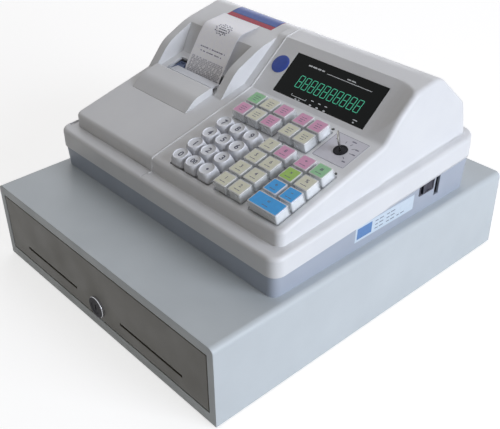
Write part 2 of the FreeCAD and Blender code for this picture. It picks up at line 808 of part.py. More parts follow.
def make_tray():
    """Moulded tray with five coin cups in front and four note bays behind, and a note clip in each bay."""
    tools = []
    for number in range(5):
        left = "-tray_half + tray_wall + %d * (coin_width + tray_wall)" % number
        front, rear = "tray_front + tray_wall", "tray_front + tray_wall + coin_depth"
        floor, top = "shelf_rise + tray_wall", "tray_top + overrun"
        tools.append(prism("CoinCup%d" % number, "yz", [(front, floor, "coin_curve"), (rear, floor, "coin_curve"),
                                                         (rear, top), (front, top)], left, left + " + coin_width"))
    for number in range(4):
        left = "-tray_half + tray_wall + %d * (bill_width + tray_wall)" % number
        tools.append(box("BillBay%d" % number, (left, left + " + bill_width"),
                         ("bill_front", "bill_front + bill_depth"),
                         ("shelf_rise + tray_wall", "tray_top + overrun")))
    tools.append(rod("ClipBore", "x", "clip_pin_radius + fit_clearance", "-tray_half + tray_wall / 2",
                     "tray_half - tray_wall / 2", "clip_pivot_y", "clip_pivot_z"))
    block = box("TrayBlock", ("-tray_half", "tray_half"), ("tray_front", "tray_rear"), ("shelf_rise", "tray_top"))
    part("cash_tray", cut("CashTray", block, *tools))

    clips = []
    for number in range(4):
        left = "(-tray_half + tray_wall + %d * (bill_width + tray_wall))" % number
        middle = left + " + bill_width / 2"
        barrel = rod("ClipBarrel%d" % number, "x", "clip_barrel_radius", left + " + clip_side_gap",
                     left + " + bill_width - clip_side_gap", "clip_pivot_y", "clip_pivot_z")
        pin = rod("ClipPin%d" % number, "x", "clip_pin_radius", left + " - clip_pin_length",
                  left + " + bill_width + clip_pin_length", "clip_pivot_y", "clip_pivot_z")
        arm = prism("ClipArm%d" % number, "yz", [("clip_pivot_y", "clip_pivot_z - clip_wall / 2"),
                                                 ("clip_pivot_y", "clip_pivot_z + clip_wall / 2"),
                                                 ("clip_tip_y", "clip_tip_z + clip_wall / 2"),
                                                 ("clip_tip_y", "clip_tip_z - clip_wall / 2")],
                    middle + " - clip_width / 2", middle + " + clip_width / 2")
        roll = rod("ClipRoll%d" % number, "x", "clip_roll_radius", middle + " - clip_width",
                   middle + " + clip_width", "clip_tip_y", "clip_tip_z")
        clips.append(fuse("Clip%d" % number, barrel, pin, arm, roll))
    part("bill_clips", group("BillClips", clips))


def make_latch():
    """Electric latch behind the drawer: a hook that drops in front of the striker, and its coil and bracket."""
    half = "(latch_wall / 2)"
    tooth_front = "box_back + latch_tooth_gap"
    arm_top = "latch_pivot_z + latch_arm_height / 2"
    arm_low = "latch_pivot_z - latch_arm_height / 2"
    tooth_low = arm_low + " - latch_tooth_drop + latch_arm_height / 2"
    arm = prism("LatchArm", "yz", [("latch_pivot_y", arm_low), ("latch_pivot_y", arm_top), (tooth_front, arm_top),
                                   (tooth_front, tooth_low), (tooth_front + " + latch_tooth_width", tooth_low),
                                   (tooth_front + " + latch_tooth_width", arm_low)], "-" + half, half)
    barrel = rod("LatchBarrel", "x", "latch_barrel_radius", "-" + half, half, "latch_pivot_y", "latch_pivot_z")
    bore = rod("LatchBore", "x", "latch_pin_radius + fit_clearance", "-%s - overrun" % half, half + " + overrun",
               "latch_pivot_y", "latch_pivot_z")
    part("drawer_latch", cut("DrawerLatch", fuse("LatchBody", arm, barrel), bore))

    wall_y = "case_back - case_wall"
    near = half + " + bracket_side_gap"
    cheek = box("BracketCheek", (near, near + " + bracket_wall"), (wall_y + " - bracket_reach", wall_y),
                ("latch_pivot_z - bracket_half_height", "latch_pivot_z + bracket_half_height"))
    pin = rod("LatchPin", "x", "latch_pin_radius", "-(%s + bracket_wall)" % near, near + " + bracket_wall",
              "latch_pivot_y", "latch_pivot_z")
    plate = box("BracketPlate", ("-coil_width / 2 - bracket_wall", "coil_width / 2 + bracket_wall"),
                (wall_y + " - bracket_wall", wall_y),
                ("latch_pivot_z - bracket_half_height", "latch_pivot_z + coil_lift + coil_height"))
    coil = box("Coil", ("-coil_width / 2", "coil_width / 2"), (wall_y + " - coil_reach", wall_y),
               ("latch_pivot_z + coil_lift", "latch_pivot_z + coil_lift + coil_height"))
    part("latch_solenoid", fuse("LatchSolenoid", cheek, mirror("BracketCheekLeft", cheek), pin, plate, coil))


# Register base

def base_outline(inset):
    """The base shell's foot, drawn in by a wall."""
    west, east = "-base_left + %s" % inset, "base_right - %s" % inset
    front, rear = "base_front + %s" % inset, "base_rear - %s" % inset
    near, far = "base_corner - %s" % inset, "base_rear_corner - %s" % inset
    return [(west, front, near), (east, front, near), (east, rear, far), (west, rear, far)]


def make_base():
    """Grey tub that stands on the drawer, with the switch housing in its right wall."""
    block = prism("BaseBlock", "xy", base_outline("0"), "case_top", "base_top", "base_draft")
    hollow = prism("BaseHollow", "xy", base_outline("shell_wall"), "case_top + shell_wall", "base_top + overrun",
                   "base_draft")
    far = "4 * overrun"
    front, rear = "band_front - " + far, "band_rear + " + far
    sky = "base_top + 3 * overrun"
    above = prism("AboveParting", "yz", [(front, parting_z(front)), (rear, parting_z(rear)), (rear, sky),
                                         (front, sky)], "-case_width", "case_width")
    half = "switch_length / 2"
    lug_low, lug_high = "switch_low - switch_lug_wall", "switch_low + switch_height + switch_lug_wall"
    housing = box("SwitchHousing", ("wall_x - shell_wall - switch_depth", "wall_x - shell_wall / 2"),
                  ("switch_y - %s - switch_lug_wall" % half, "switch_y + %s + switch_lug_wall" % half),
                  (lug_low, lug_high))
    opening = box("SwitchOpening", ("wall_x - shell_wall - switch_depth + switch_lug_wall", "wall_x + overrun"),
                  ("switch_y - " + half, "switch_y + " + half), ("switch_low", "switch_low + switch_height"))
    pivot = rod("RockerBore", "z", "rocker_pin_radius + fit_clearance", lug_low + " - overrun",
                lug_high + " + overrun", "wall_x - rocker_depth", "switch_y")
    pivot = shared("RockerBores", pivot, box("RockerBoreLimits", ("wall_x - case_height", "wall_x"),
                                             ("switch_y - " + half, "switch_y + " + half), (lug_low, lug_high)))
    slot = box("SideSlot", ("wall_x - 2 * shell_wall", "wall_x + overrun"),
               ("side_slot_y - side_slot_width / 2", "side_slot_y + side_slot_width / 2"),
               ("side_slot_low", "side_slot_high"))
    inlet = box("InletOpening", ("inlet_x - inlet_width / 2", "inlet_x + inlet_width / 2"),
                ("base_rear - 2 * shell_wall", "base_rear + overrun"),
                ("case_top + inlet_rise", "case_top + inlet_rise + inlet_height"))
    bosses = []
    for across in ("main_board_left + main_board_inset", "main_board_right - main_board_inset"):
        for along in ("main_board_front + main_board_inset", "main_board_rear - main_board_inset"):
            bosses.append(rod("BoardBoss%d" % len(bosses), "z", "post_radius", "case_top + shell_wall / 2",
                              "base_floor_z + main_board_rise", across, along))
    tub = cut("BaseTub", block, hollow)
    part("base_shell", cut("BaseShell", fuse("BaseSolid", tub, housing, *bosses), above, opening, pivot, slot,
                           inlet))


def make_power_switch():
    """Rocker with a dished face that tips on two pins in its housing, at rest with its near end pressed in."""
    half = "(rocker_length / 2)"
    back = "-rocker_pin_radius - rocker_gap"
    face = "rocker_depth + rocker_proud"
    low, high = "switch_low + rocker_gap", "switch_low + switch_height - rocker_gap"
    block = prism("RockerBlock", "xy", [(back, "-%s / 2" % half), (face, "-" + half), (face + " - rocker_dip", "0"),
                                        (face, half), (back, half + " / 2")], low, high)
    pin = rod("RockerPin", "z", "rocker_pin_radius", low + " - rocker_pin_length", high + " + rocker_pin_length",
              "0", "0")
    rocker = fuse("PowerSwitch", block, pin)
    rocker.Placement = Placement(Vector(), Rotation(Vector(0, 0, 1), measure("rocker_tilt")))
    tie(rocker, "Placement.Rotation.Angle", "rocker_tilt")
    tie(rocker, "Placement.Base.x", "wall_x - rocker_depth")
    tie(rocker, "Placement.Base.y", "switch_y")
    part("power_switch", rocker)


# Upper case

def side_profile(top):
    """The side view of the upper case: foot, front, deck and the given top, and then down its back."""
    return [("upper_front", "shell_foot"), ("upper_front", deck_z("upper_front"))] + top + [
        ("ridge_y", "ridge_z", "ridge_curve"), ("rear_knee_y", "rear_knee_z", "cheek_curve"),
        ("upper_rear", "rear_foot_z"), ("upper_rear", "shell_foot")]


def round_side(body, name, side_x):
    """Round the front corner of a side profile and then the long edge along its top."""
    shape = body.Tip.Shape
    side = measure(side_x)
    front = measure("upper_front")
    level = measure(deck_z("upper_front"))
    low = measure("shell_foot")
    upright = edges_where(shape, lambda near, far: abs(near.x - side) < NEAR and abs(far.x - side) < NEAR
                          and abs(near.y - front) < NEAR and abs(far.y - front) < NEAR)
    round_body(body, name + "FrontCorner", "upper_corner", upright)
    corner = measure("upper_corner")
    rear = measure("upper_rear")
    foot = measure("rear_foot_z")

    def long_edge(near, far):
        on_side = abs(near.x - side) < NEAR and abs(far.x - side) < NEAR and near.z > level - NEAR
        behind = abs(near.y - rear) < NEAR and abs(far.y - rear) < NEAR
        round_front = min(abs(near.x - side), abs(far.x - side)) < NEAR and far.y < front + corner + NEAR
        across_front = abs(near.y - front) < NEAR and abs(far.y - front) < NEAR
        at_deck = near.z > level - NEAR
        flat_upright = abs(far.z - near.z) > foot - low
        return at_deck and not flat_upright and not behind and (on_side or round_front or across_front)

    round_body(body, name + "TopEdge", "upper_edge", edges_where(body.Tip.Shape, long_edge))


def round_front(body, name):
    """Round the edge between the front and the deck of a side profile with no corner of its own."""
    front = measure("upper_front")
    low = measure("shell_foot")
    picks = edges_where(body.Tip.Shape, lambda near, far: abs(near.y - front) < NEAR and abs(far.y - front) < NEAR
                        and near.z > low + NEAR and far.z - near.z < NEAR)
    round_body(body, name + "TopEdge", "upper_edge", picks)


def make_band():
    """The band round the foot of the upper case, with the ledge on it, and the hollow under that ledge."""
    def ring(inset):
        west, east = "-band_left + %s" % inset, "band_right - %s" % inset
        front, rear = "band_front + %s" % inset, "band_rear - %s" % inset
        near, far = "band_corner - %s" % inset, "band_rear_corner - %s" % inset
        return [(west, front, near), (east, front, near), (east, rear, far), (west, rear, far)]

    def wedge(name, height, drop, below):
        far = "4 * overrun"
        front, rear = "band_front - " + far, "band_rear + " + far
        limit = "shell_foot - 6 * overrun" if below else "ledge_rear_z + 6 * overrun"
        lows = [(front, height(front) + drop), (rear, height(rear) + drop), (rear, limit), (front, limit)]
        return prism(name, "yz", lows, "-case_width", "case_width")

    block = prism("BandBlock", "xy", ring("0"), "shell_foot - overrun", "ledge_rear_z + overrun")
    band = settle(cut("BandSharp", block, wedge("UnderBand", parting_z, "", True),
                      wedge("AboveLedge", ledge_z, "", False)))
    top = []
    middle = measure("(ledge_front_z + parting_rear_z) / 2")
    for number, edge in enumerate(band.Shape.Edges, 1):
        centre = edge.BoundBox.Center
        flat = edge.BoundBox.ZLength < measure("(ledge_rear_z - ledge_front_z) * 1.01")
        level = measure(ledge_z(repr(centre.y)))
        if flat and abs(centre.z - level) < measure("shell_wall"):
            top.append(number)
    rounded = doc.addObject("Part::Fillet", "Band")
    rounded.Base = band
    rounded.Edges = [(number, measure("band_edge"), measure("band_edge")) for number in top]
    block = prism("BandHollowBlock", "xy", ring("band_wall"), "shell_foot - 2 * overrun", "ledge_rear_z + overrun")
    hollow = cut("BandHollow", block, wedge("AboveLedgeInside", ledge_z, " - shell_wall", False))
    return rounded, hollow


def key_places():
    """Every key: its name, its place across and up the deck, its width and whether it has a round top."""
    places = []
    numbers = (("0", "00", "point"), ("1", "2", "3"), ("4", "5", "6"), ("7", "8", "9"))
    for row in LOWER_ROWS:
        rise = "first_row + %d * row_pitch" % row
        for column in NUMBER_COLUMNS:
            across = "number_column_x + %d * key_pitch" % column
            places.append(("key_" + numbers[row][column], across, rise, "key_side", True))
        for column in PAIR_COLUMNS:
            across = "middle_column_x + %d * key_pitch" % column
            places.append(("department_key_%d" % (2 * row + column + 1), across, rise, "key_side", False))
        if row:
            for column in PAIR_COLUMNS:
                across = "right_column_x + %d * key_pitch" % column
                places.append(("tender_key_%d" % (2 * row + column - 1), across, rise, "key_side", False))
    places.append(("total_key", "right_column_x + key_pitch / 2", "first_row", "pair_span", False))
    for row in UPPER_ROWS:
        rise = "top_row + %d * row_pitch" % row
        for column in NUMBER_COLUMNS:
            across = "number_column_x + %d * key_pitch" % column
            places.append(("function_key_%d" % (5 * row + column + 1), across, rise, "key_side", False))
        for column in PAIR_COLUMNS:
            across = "middle_column_x + %d * key_pitch" % column
            places.append(("function_key_%d" % (5 * row + column + 4), across, rise, "key_side", False))
    return places


def key_blocks():
    """The shallow pockets in the deck that the blocks of keys stand in."""
    lower, upper = ("first_row", "3 * row_pitch"), ("top_row", "row_pitch")
    columns = (("number_column_x", "2 * key_pitch"), ("middle_column_x", "key_pitch"),
               ("right_column_x", "key_pitch"))
    blocks = [(columns[0], lower), (columns[1], lower), (columns[2], lower), (columns[0], upper),
              (columns[1], upper)]
    tools, floors = [], []
    edge = "(key_side / 2 + pocket_gap)"
    for number, ((left, width), (near, depth)) in enumerate(blocks):
        west, east = "%s - %s" % (left, edge), "%s + %s + %s" % (left, width, edge)
        south, north = "%s - %s" % (near, edge), "%s + %s + %s" % (near, depth, edge)
        corner = "pocket_corner"
        pocket = prism("Pocket%d" % number, "xy", [(west, south, corner), (east, south, corner),
                                                   (east, north, corner), (west, north, corner)],
                       "-pocket_depth", "overrun")
        tools.append(on_deck(pocket))
        floor = box("PocketFloor%d" % number, ("0", "(%s) - (%s) + 2 * pocket_floor" % (east, west)),
                    ("0", "(%s) - (%s) + 2 * pocket_floor" % (north, south)),
                    ("0", "pocket_depth + pocket_floor - shell_wall / 2"))
        floors.append(on_deck(floor, "%s - pocket_floor" % west, "%s - pocket_floor" % south,
                              "-pocket_depth - pocket_floor"))
    return tools, floors


def cheek_outline(high):
    """The recess over the face and the crease: flat, then rising ever steeper to the crest of the cheek."""
    steps = 4
    rising = [("cheek_start_x + cheek_run * %d / %d" % (step, steps),
               "cheek_height * %d / %d" % (step ** 2, steps ** 2)) for step in range(steps + 1)]
    return [("seam_x - overrun", "0")] + rising + [("cheek_crest_x", high), ("seam_x - overrun", high)]


def make_upper_case():
    """Pale moulding with the keyboard deck, the display hood and the band round its foot."""
    cheek_top = [("crease_y", "crease_z", "crease_curve"), ("cheek_knee_y", "cheek_knee_z", "knee_curve"),
                 ("cheek_top_y", "cheek_top_z", "cheek_curve")]
    outer = prism("HoodBlock", "yz", side_profile(cheek_top), "seam_x", "upper_right")
    round_side(outer, "Hood", "upper_right")
    high = "case_height"
    recess = prism("FaceRecess", "xz", cheek_outline(high), "0", high)
    crease = prism("CreaseRecess", "xz", cheek_outline(high), "deck_length - crease_curve", "deck_length")
    hood = cut("HoodShaped", outer, on_face(recess), on_deck(crease))

    inner = [("inner_front", "shell_foot - overrun"), ("inner_front", deck_z("inner_front") + " - inner_deck_drop"),
             ("inner_crease_y", "inner_crease_z"), ("visor_y", "visor_z - inner_face_drop"),
             ("ridge_y", "inner_ridge_z"), ("rear_knee_y - shell_wall", "rear_knee_z - shell_wall / 2"),
             ("upper_rear - shell_wall", "rear_foot_z"), ("upper_rear - shell_wall", "shell_foot - overrun")]
    hollow = prism("HoodHollow", "yz", inner, "seam_x + shell_wall", "upper_right - shell_wall")
    round_inner = edges_where(hollow.Tip.Shape, lambda near, far: abs(near.x - measure(
        "upper_right - shell_wall")) < NEAR and abs(far.x - near.x) < NEAR and abs(far.y - measure(
            "inner_front")) < NEAR and abs(near.y - far.y) < NEAR)
    round_body(hollow, "HoodHollowCorner", "upper_corner - shell_wall", round_inner)

    band, band_hollow = make_band()
    bay = box("PrinterBay", ("-upper_left + 2 * shell_wall", "seam_x - shell_wall"),
              ("upper_front + 2 * shell_wall", "split_y - shell_wall"), ("shell_foot - overrun", high + " * 2"))
    rear_low = "ledge_rear_z - 3 * shell_wall"

    def rear_line(height):
        return "upper_rear - (%s - rear_foot_z) * rear_slope" % height

    rear = prism("RearBlock", "yz", [("split_y", rear_low), ("upper_rear", rear_low), ("upper_rear", "rear_foot_z"),
                                     (rear_line("split_z"), "split_z"), ("split_y", "split_z")],
                 "-upper_left", "seam_x")
    rear_hollow = box("RearHollow", ("-upper_left + shell_wall", "seam_x - overrun"),
                      ("split_y + shell_wall", "upper_rear - 2 * shell_wall"),
                      ("shell_foot", "split_z - shell_wall"))
    solid = fuse("UpperSolid", hood, band, rear)
    solid = cut("UpperShell", solid, hollow, band_hollow, bay, rear_hollow)

    pockets, floors = key_blocks()
    ears, bores = make_ears()
    posts = make_posts()
    collar = on_deck(doc_rod("ModeCollar", "mode_radius + mode_gap + mode_collar_wall",
                             "mode_collar_drop"), "mode_x", "mode_rise", "-mode_collar_drop")
    solid = fuse("UpperWithFloors", solid, collar, *(floors + ears + posts))
    holes = list(pockets) + bores
    for name, across, rise, width, round_top in key_places():
        side = "stem_side + 2 * stem_gap"
        hole = box("StemHole_" + name, ("0", side), ("0", side), ("0", "pocket_depth + pocket_floor + 2 * overrun"))
        holes.append(on_deck(hole, "%s - (%s) / 2" % (across, side), "%s - (%s) / 2" % (rise, side),
                             "-pocket_depth - pocket_floor - overrun"))
    holes.append(on_deck(doc_rod("ModeHole", "mode_radius + mode_gap", "mode_collar_drop + 2 * overrun"),
                         "mode_x", "mode_rise", "-mode_collar_drop - overrun"))
    rebate = box("WindowRebate", ("-window_width / 2 - window_gap", "window_width / 2 + window_gap"),
                 ("window_rise - window_height / 2 - window_gap", "window_rise + window_height / 2 + window_gap"),
                 ("-window_wall", "overrun"))
    rebate_seat = on_face_from(rebate, "window_x")
    sight = box("WindowSight", ("-window_width / 2 + window_margin", "window_width / 2 - window_margin"),
                ("window_rise - window_height / 2 + window_margin",
                 "window_rise + window_height / 2 - window_margin"), ("-overrun - shell_wall", "overrun"))
    holes += [rebate_seat, on_face_from(sight, "window_x")]
    seam = box("BandSeam", ("seam_x - band_seam / 2", "seam_x + band_seam / 2"),
               ("band_front - overrun", "upper_front"), ("ledge_front_z - band_seam", "ledge_rear_z"))
    grip = box("GripSlot", ("grip_slot_x - grip_slot_width / 2", "grip_slot_x + grip_slot_width / 2"),
               ("grip_slot_front", "grip_slot_front + grip_slot_length"),
               (ledge_z("grip_slot_front") + " - grip_slot_depth", "ledge_rear_z"))
    holes += [seam, grip]
    part("upper_case", cut("UpperCase", solid, *holes))


def doc_rod(name, radius, height):
    """A plain upright cylinder that is laid on a slope afterwards."""
    item = doc.addObject("Part::Cylinder", name)
    tie(item, "Radius", radius)
    tie(item, "Height", height)
    return item


def on_face_from(item, across):
    """Wrap a block drawn about its own middle and lay it on the display face."""
    holder = group(item.Name + "OnFace", [item])
    return on_face(holder, across)


def make_posts():
    """Posts under the deck and behind the display that the boards are screwed to."""
    posts = []
    gap_left = "(number_column_x + 2 * key_pitch + middle_column_x) / 2"
    gap_right = "(middle_column_x + key_pitch + right_column_x) / 2"
    edge = "key_board_left + 2 * post_radius"
    low_row = "first_row + row_pitch / 2"
    between = "(first_row + 3 * row_pitch + top_row) / 2"
    for across in (edge, gap_left, gap_right):
        for rise in (low_row, between):
            post = doc_rod("KeyPost%d" % len(posts), "post_radius", "key_board_drop - shell_wall / 2")
            posts.append(on_deck(post, across, rise, "-key_board_drop"))
    for across in (-1, 1):
        for rise in ("window_rise - (display_board_height / 2 - 2 * post_radius)",
                     "window_rise + (display_board_height / 2 - 2 * post_radius)"):
            post = doc_rod("FacePost%d" % len(posts), "post_radius", "display_board_drop - shell_wall / 2")
            post.Placement = Placement(Vector(), Rotation())
            tie(post, "Placement.Base.x", "%d * (display_board_width / 2 - post_radius)" % across)
            tie(post, "Placement.Base.y", rise)
            tie(post, "Placement.Base.z", "-display_board_drop")
            posts.append(on_face_from(post, "window_x"))
    return posts


def ear_places():
    """Where the two hinge ears stand across the printer cover."""
    return ("-upper_left + hinge_inset", "cover_right - hinge_inset")


def make_ears():
    """Two ears on the upper case that hold the printer cover's hinge pins, and the bores in them."""
    ears, bores = [], []
    for number, across in enumerate(ear_places()):
        west, east = across + " - hinge_ear_wall / 2", across + " + hinge_ear_wall / 2"
        neck = box("EarNeck%d" % number, (west, east), ("hinge_y - hinge_ear_radius", "hinge_y + hinge_ear_radius"),
                   ("split_z - shell_wall / 2", "hinge_z"))
        head = rod("EarHead%d" % number, "x", "hinge_ear_radius", west, east, "hinge_y", "hinge_z")
        ears += [neck, head]
        bores.append(rod("EarBore%d" % number, "x", "hinge_pin_radius + fit_clearance", west + " - overrun",
                         east + " + overrun", "hinge_y", "hinge_z"))
    return ears, bores


# Printer cover and what rides on it

def make_printer_cover():
    """Left-hand lid: deck, two arched arms beside the printer's mouth and the hood behind, on two pins."""
    arch_top = [("arch_foot_y", "arch_foot_z", "arch_foot_curve"), ("arch_knee_y", "arch_knee_z", "arch_knee_curve"),
                ("arch_top_y", "arch_top_z", "arch_top_curve")]
    arch = prism("ArchBlock", "yz", side_profile(arch_top), "-upper_left", "flank_x")
    round_side(arch, "Arch", "-upper_left")
    low_top = [("crease_y", "crease_z"), ("visor_y", "visor_z", "cheek_curve")]
    flat = prism("FlankBlock", "yz", side_profile(low_top), "flank_x", "cover_right")
    round_front(flat, "Flank")
    solid = fuse("CoverSolid", arch, flat)

    far = "4 * overrun"
    front, rear = "upper_front - " + far, "upper_rear + " + far
    deep = "shell_foot - 2 * overrun"
    below = prism("UnderCover", "yz", [(front, deep), (rear, deep), (rear, ledge_z(rear) + " + cover_gap"),
                                       (front, ledge_z(front) + " + cover_gap")], "-case_width", "case_half")
    behind = box("BehindSplit", ("-case_width", "case_half"), ("split_y - cover_gap", rear), (deep, "cover_foot_z"))
    under_deck = prism("DeckHollow", "yz", [("inner_front", deep), ("inner_front", deck_z("inner_front")
                                                                     + " - inner_deck_drop"),
                                            ("inner_crease_y", "inner_crease_z"),
                                            ("mouth_back_y + shell_wall / mouth_cos", "inner_crease_z"),
                                            ("mouth_back_y + shell_wall / mouth_cos", deep)],
                       "-upper_left + shell_wall", "cover_inner_x")
    corner = edges_where(under_deck.Tip.Shape, lambda near, far_end: abs(near.x - measure(
        "-upper_left + shell_wall")) < NEAR and abs(far_end.x - near.x) < NEAR and abs(
            far_end.y - measure("inner_front")) < NEAR and abs(near.y - far_end.y) < NEAR)
    round_body(under_deck, "DeckHollowCorner", "upper_corner - shell_wall", corner)
    lean = "shell_wall / mouth_cos"
    hood_back = [("rear_knee_y - shell_wall", "rear_knee_z - shell_wall / 2"),
                 ("upper_rear - shell_wall", "rear_foot_z"), ("upper_rear - shell_wall", deep)]
    high_hollow = prism("HoodHollowLeft", "yz", [
        ("mouth_back_y + %s - (mouth_back_z - %s) * mouth_tan" % (lean, "inner_crease_z"), "inner_crease_z - overrun"),
        ("mouth_top_y + %s" % lean, "arch_top_z - shell_wall"), ("ridge_y", "inner_ridge_z")] + hood_back
        + [("mouth_back_y + 2 * shell_wall", deep)], "-upper_left + shell_wall", "mouth_right")
    low_hollow = prism("HoodHollowFlank", "yz", [
        ("mouth_back_y + shell_wall", "inner_crease_z"),
        ("visor_y", "visor_z - inner_face_drop - shell_wall / 2"), ("ridge_y", "inner_ridge_z")] + hood_back
        + [("mouth_back_y + shell_wall", deep)], "mouth_right - overrun", "cover_inner_x")
    reach = "case_height"
    start = "arch_foot_y - overrun"
    mouth = prism("PrinterMouth", "yz", [
        (start, deck_z(start)), ("mouth_back_y", "mouth_back_z"),
        ("mouth_back_y + %s * mouth_tan" % reach, "mouth_back_z + " + reach),
        (start, "mouth_back_z + " + reach)], "mouth_left", "mouth_right")
    throat = box("PaperThroat", ("throat_left", "throat_right"), ("throat_front", "throat_rear"),
                 (deep, "mouth_back_z"))
    notches, lugs = [], []
    for number, across in enumerate(ear_places()):
        half = "(hinge_ear_wall / 2 + hinge_side_gap)"
        notches.append(box("EarNotch%d" % number, (across + " - " + half, across + " + " + half),
                           ("hinge_y - 2 * hinge_ear_radius", "hinge_y + 4 * hinge_ear_radius"),
                           (deep, "hinge_z + hinge_ear_radius + hinge_side_gap")))
        for side in (-1, 1):
            west = "%s + %d * (%s + hinge_lug_wall / 2)" % (across, side, half)
            lugs.append(box("HingeLug%d_%d" % (number, side + 1),
                            (west + " - hinge_lug_wall / 2", west + " + hinge_lug_wall / 2"),
                            ("hinge_y - hinge_ear_radius", "rear_knee_y + hinge_pin_radius"),
                            ("hinge_z - hinge_ear_radius", "rear_knee_z - 2 * shell_wall")))
        lugs.append(rod("HingePin%d" % number, "x", "hinge_pin_radius", across + " - %s - hinge_lug_wall" % half,
                        across + " + %s + hinge_lug_wall" % half, "hinge_y", "hinge_z"))
    ribs, bores = [], []
    for number, (west, east) in enumerate((("throat_left - platen_rib_wall", "throat_left"),
                                           ("throat_right", "throat_right + platen_rib_wall"))):
        ribs.append(box("PlatenRib%d" % number, (west, east), ("platen_y - platen_rib_reach",
                                                              "platen_y + platen_rib_reach"),
                        ("platen_z - platen_rib_reach", deck_z("platen_y") + " - inner_deck_drop / 2")))
        bores.append(rod("PlatenBore%d" % number, "x", "platen_shaft_radius + fit_clearance", west + " - overrun",
                         east + " + overrun", "platen_y", "platen_z"))
    shell = cut("CoverShell", solid, below, behind, under_deck, high_hollow, low_hollow, mouth, throat)
    shell = cut("CoverNotched", shell, *notches)
    part("printer_cover", cut("PrinterCover", fuse("CoverWithLugs", shell, *(lugs + ribs)), *bores))


def make_hump():
    """Curved cover in front of the printer's mouth, with the edge that tears the ticket."""
    foot = deck_z("hump_front")
    back = deck_z("hump_rear")
    outline = [("hump_front", foot), ("hump_knee_y", "hump_knee_z", "hump_curve"),
               ("hump_ridge_y", "hump_ridge_z", "hump_rear_drop"), ("hump_rear", "hump_ridge_z - hump_rear_drop"),
               ("hump_rear", back)]
    hump = prism("Hump", "yz", outline, "hump_left", "hump_right")
    top = "hump_ridge_z - hump_rear_drop"
    flange = box("HumpFlange", ("flange_left", "flange_right"), ("hump_rear - flange_wall", "hump_rear + flange_depth"),
                 (top + " - flange_wall", top))
    part("tear_cover", fuse("TearCover", hump, flange))


def make_paper():
    """Ticket paper: the strip that comes up out of the mouth and lies back over the hood, and the roll."""
    lift = "paper_lift"
    top_z = "arch_top_z + (paper_end_y - arch_top_y) * arch_slope + " + lift
    bend_z = "arch_top_z + paper_bend_rise"
    near = [("paper_lean_y", "paper_bottom_z"), ("paper_lean_y", "paper_lean_z", "paper_curve"),
            ("mouth_top_y", bend_z, "paper_bend"), ("paper_end_y", top_z)]
    wall = "paper_wall"
    far = [("paper_end_y", top_z + " + " + wall), ("mouth_top_y - " + wall, bend_z + " + " + wall,
                                                  "paper_bend + " + wall),
           ("paper_lean_y - " + wall, "paper_lean_z + 0.3 * " + wall, "paper_curve + " + wall),
           ("paper_lean_y - " + wall, "paper_bottom_z")]
    part("receipt_paper", prism("ReceiptPaper", "yz", near + far, "paper_left", "paper_right"))

    solid = rod("RollBody", "x", "roll_radius", "paper_left", "paper_right", "roll_y", "roll_z")
    core = rod("RollCore", "x", "roll_core_radius", "paper_left - overrun", "paper_right + overrun", "roll_y",
               "roll_z")
    part("paper_roll", cut("PaperRoll", solid, core))


def make_platen():
    """Rubber platen on its shaft, carried by two ribs under the cover."""
    shaft = rod("PlatenShaft", "x", "platen_shaft_radius", "throat_left - platen_rib_wall",
                "throat_right + platen_rib_wall", "platen_y", "platen_z")
    rubber = rod("PlatenRubber", "x", "platen_radius", "paper_left - platen_overhang",
                 "paper_right + platen_overhang", "platen_y", "platen_z")
    part("platen_roller", fuse("PlatenRoller", shaft, rubber))


def make_printer_frame():
    """Print head on two side plates, and the trough that the paper roll lies in."""
    west, east = "paper_x - frame_half_width", "paper_x + frame_half_width"
    low = "base_floor_z"
    plate = box("FramePlate", (west, east), ("frame_front", "frame_rear"), (low, low + " + frame_plate"))
    head = box("PrintHead", (west, east), ("head_front", "head_rear"), ("head_low", "head_high"))
    pieces = [plate, head]
    for number, (left, right) in enumerate(((west, west + " + frame_plate"), (east + " - frame_plate", east))):
        pieces.append(box("FrameSide%d" % number, (left, right), ("frame_front", "frame_rib_rear"),
                          (low, "frame_rib_top")))
    inner_west, inner_east = "paper_left - trough_side_gap", "paper_right + trough_side_gap"
    outer = rod("TroughOuter", "x", "trough_radius + trough_wall", inner_west + " - trough_wall",
                inner_east + " + trough_wall", "roll_y", "trough_z")
    legs = []
    for number, (left, right) in enumerate(((inner_west + " - trough_wall", inner_west),
                                            (inner_east, inner_east + " + trough_wall"))):
        legs.append(box("TroughLeg%d" % number, (left, right),
                        ("roll_y - trough_radius / 2", "roll_y + trough_radius / 2"), (low, "trough_z")))
    round_space = rod("TroughSpace", "x", "trough_radius", inner_west, inner_east, "roll_y", "trough_z")
    above = box("AboveTrough", (west, east), ("frame_front", "frame_rear + overrun"),
                ("trough_top_z", "trough_top_z + case_height"))
    trough = cut("Trough", fuse("TroughBody", outer, *legs), round_space, above)
    part("printer_frame", fuse("PrinterFrame", trough, *pieces))


# Display, boards and mode lock

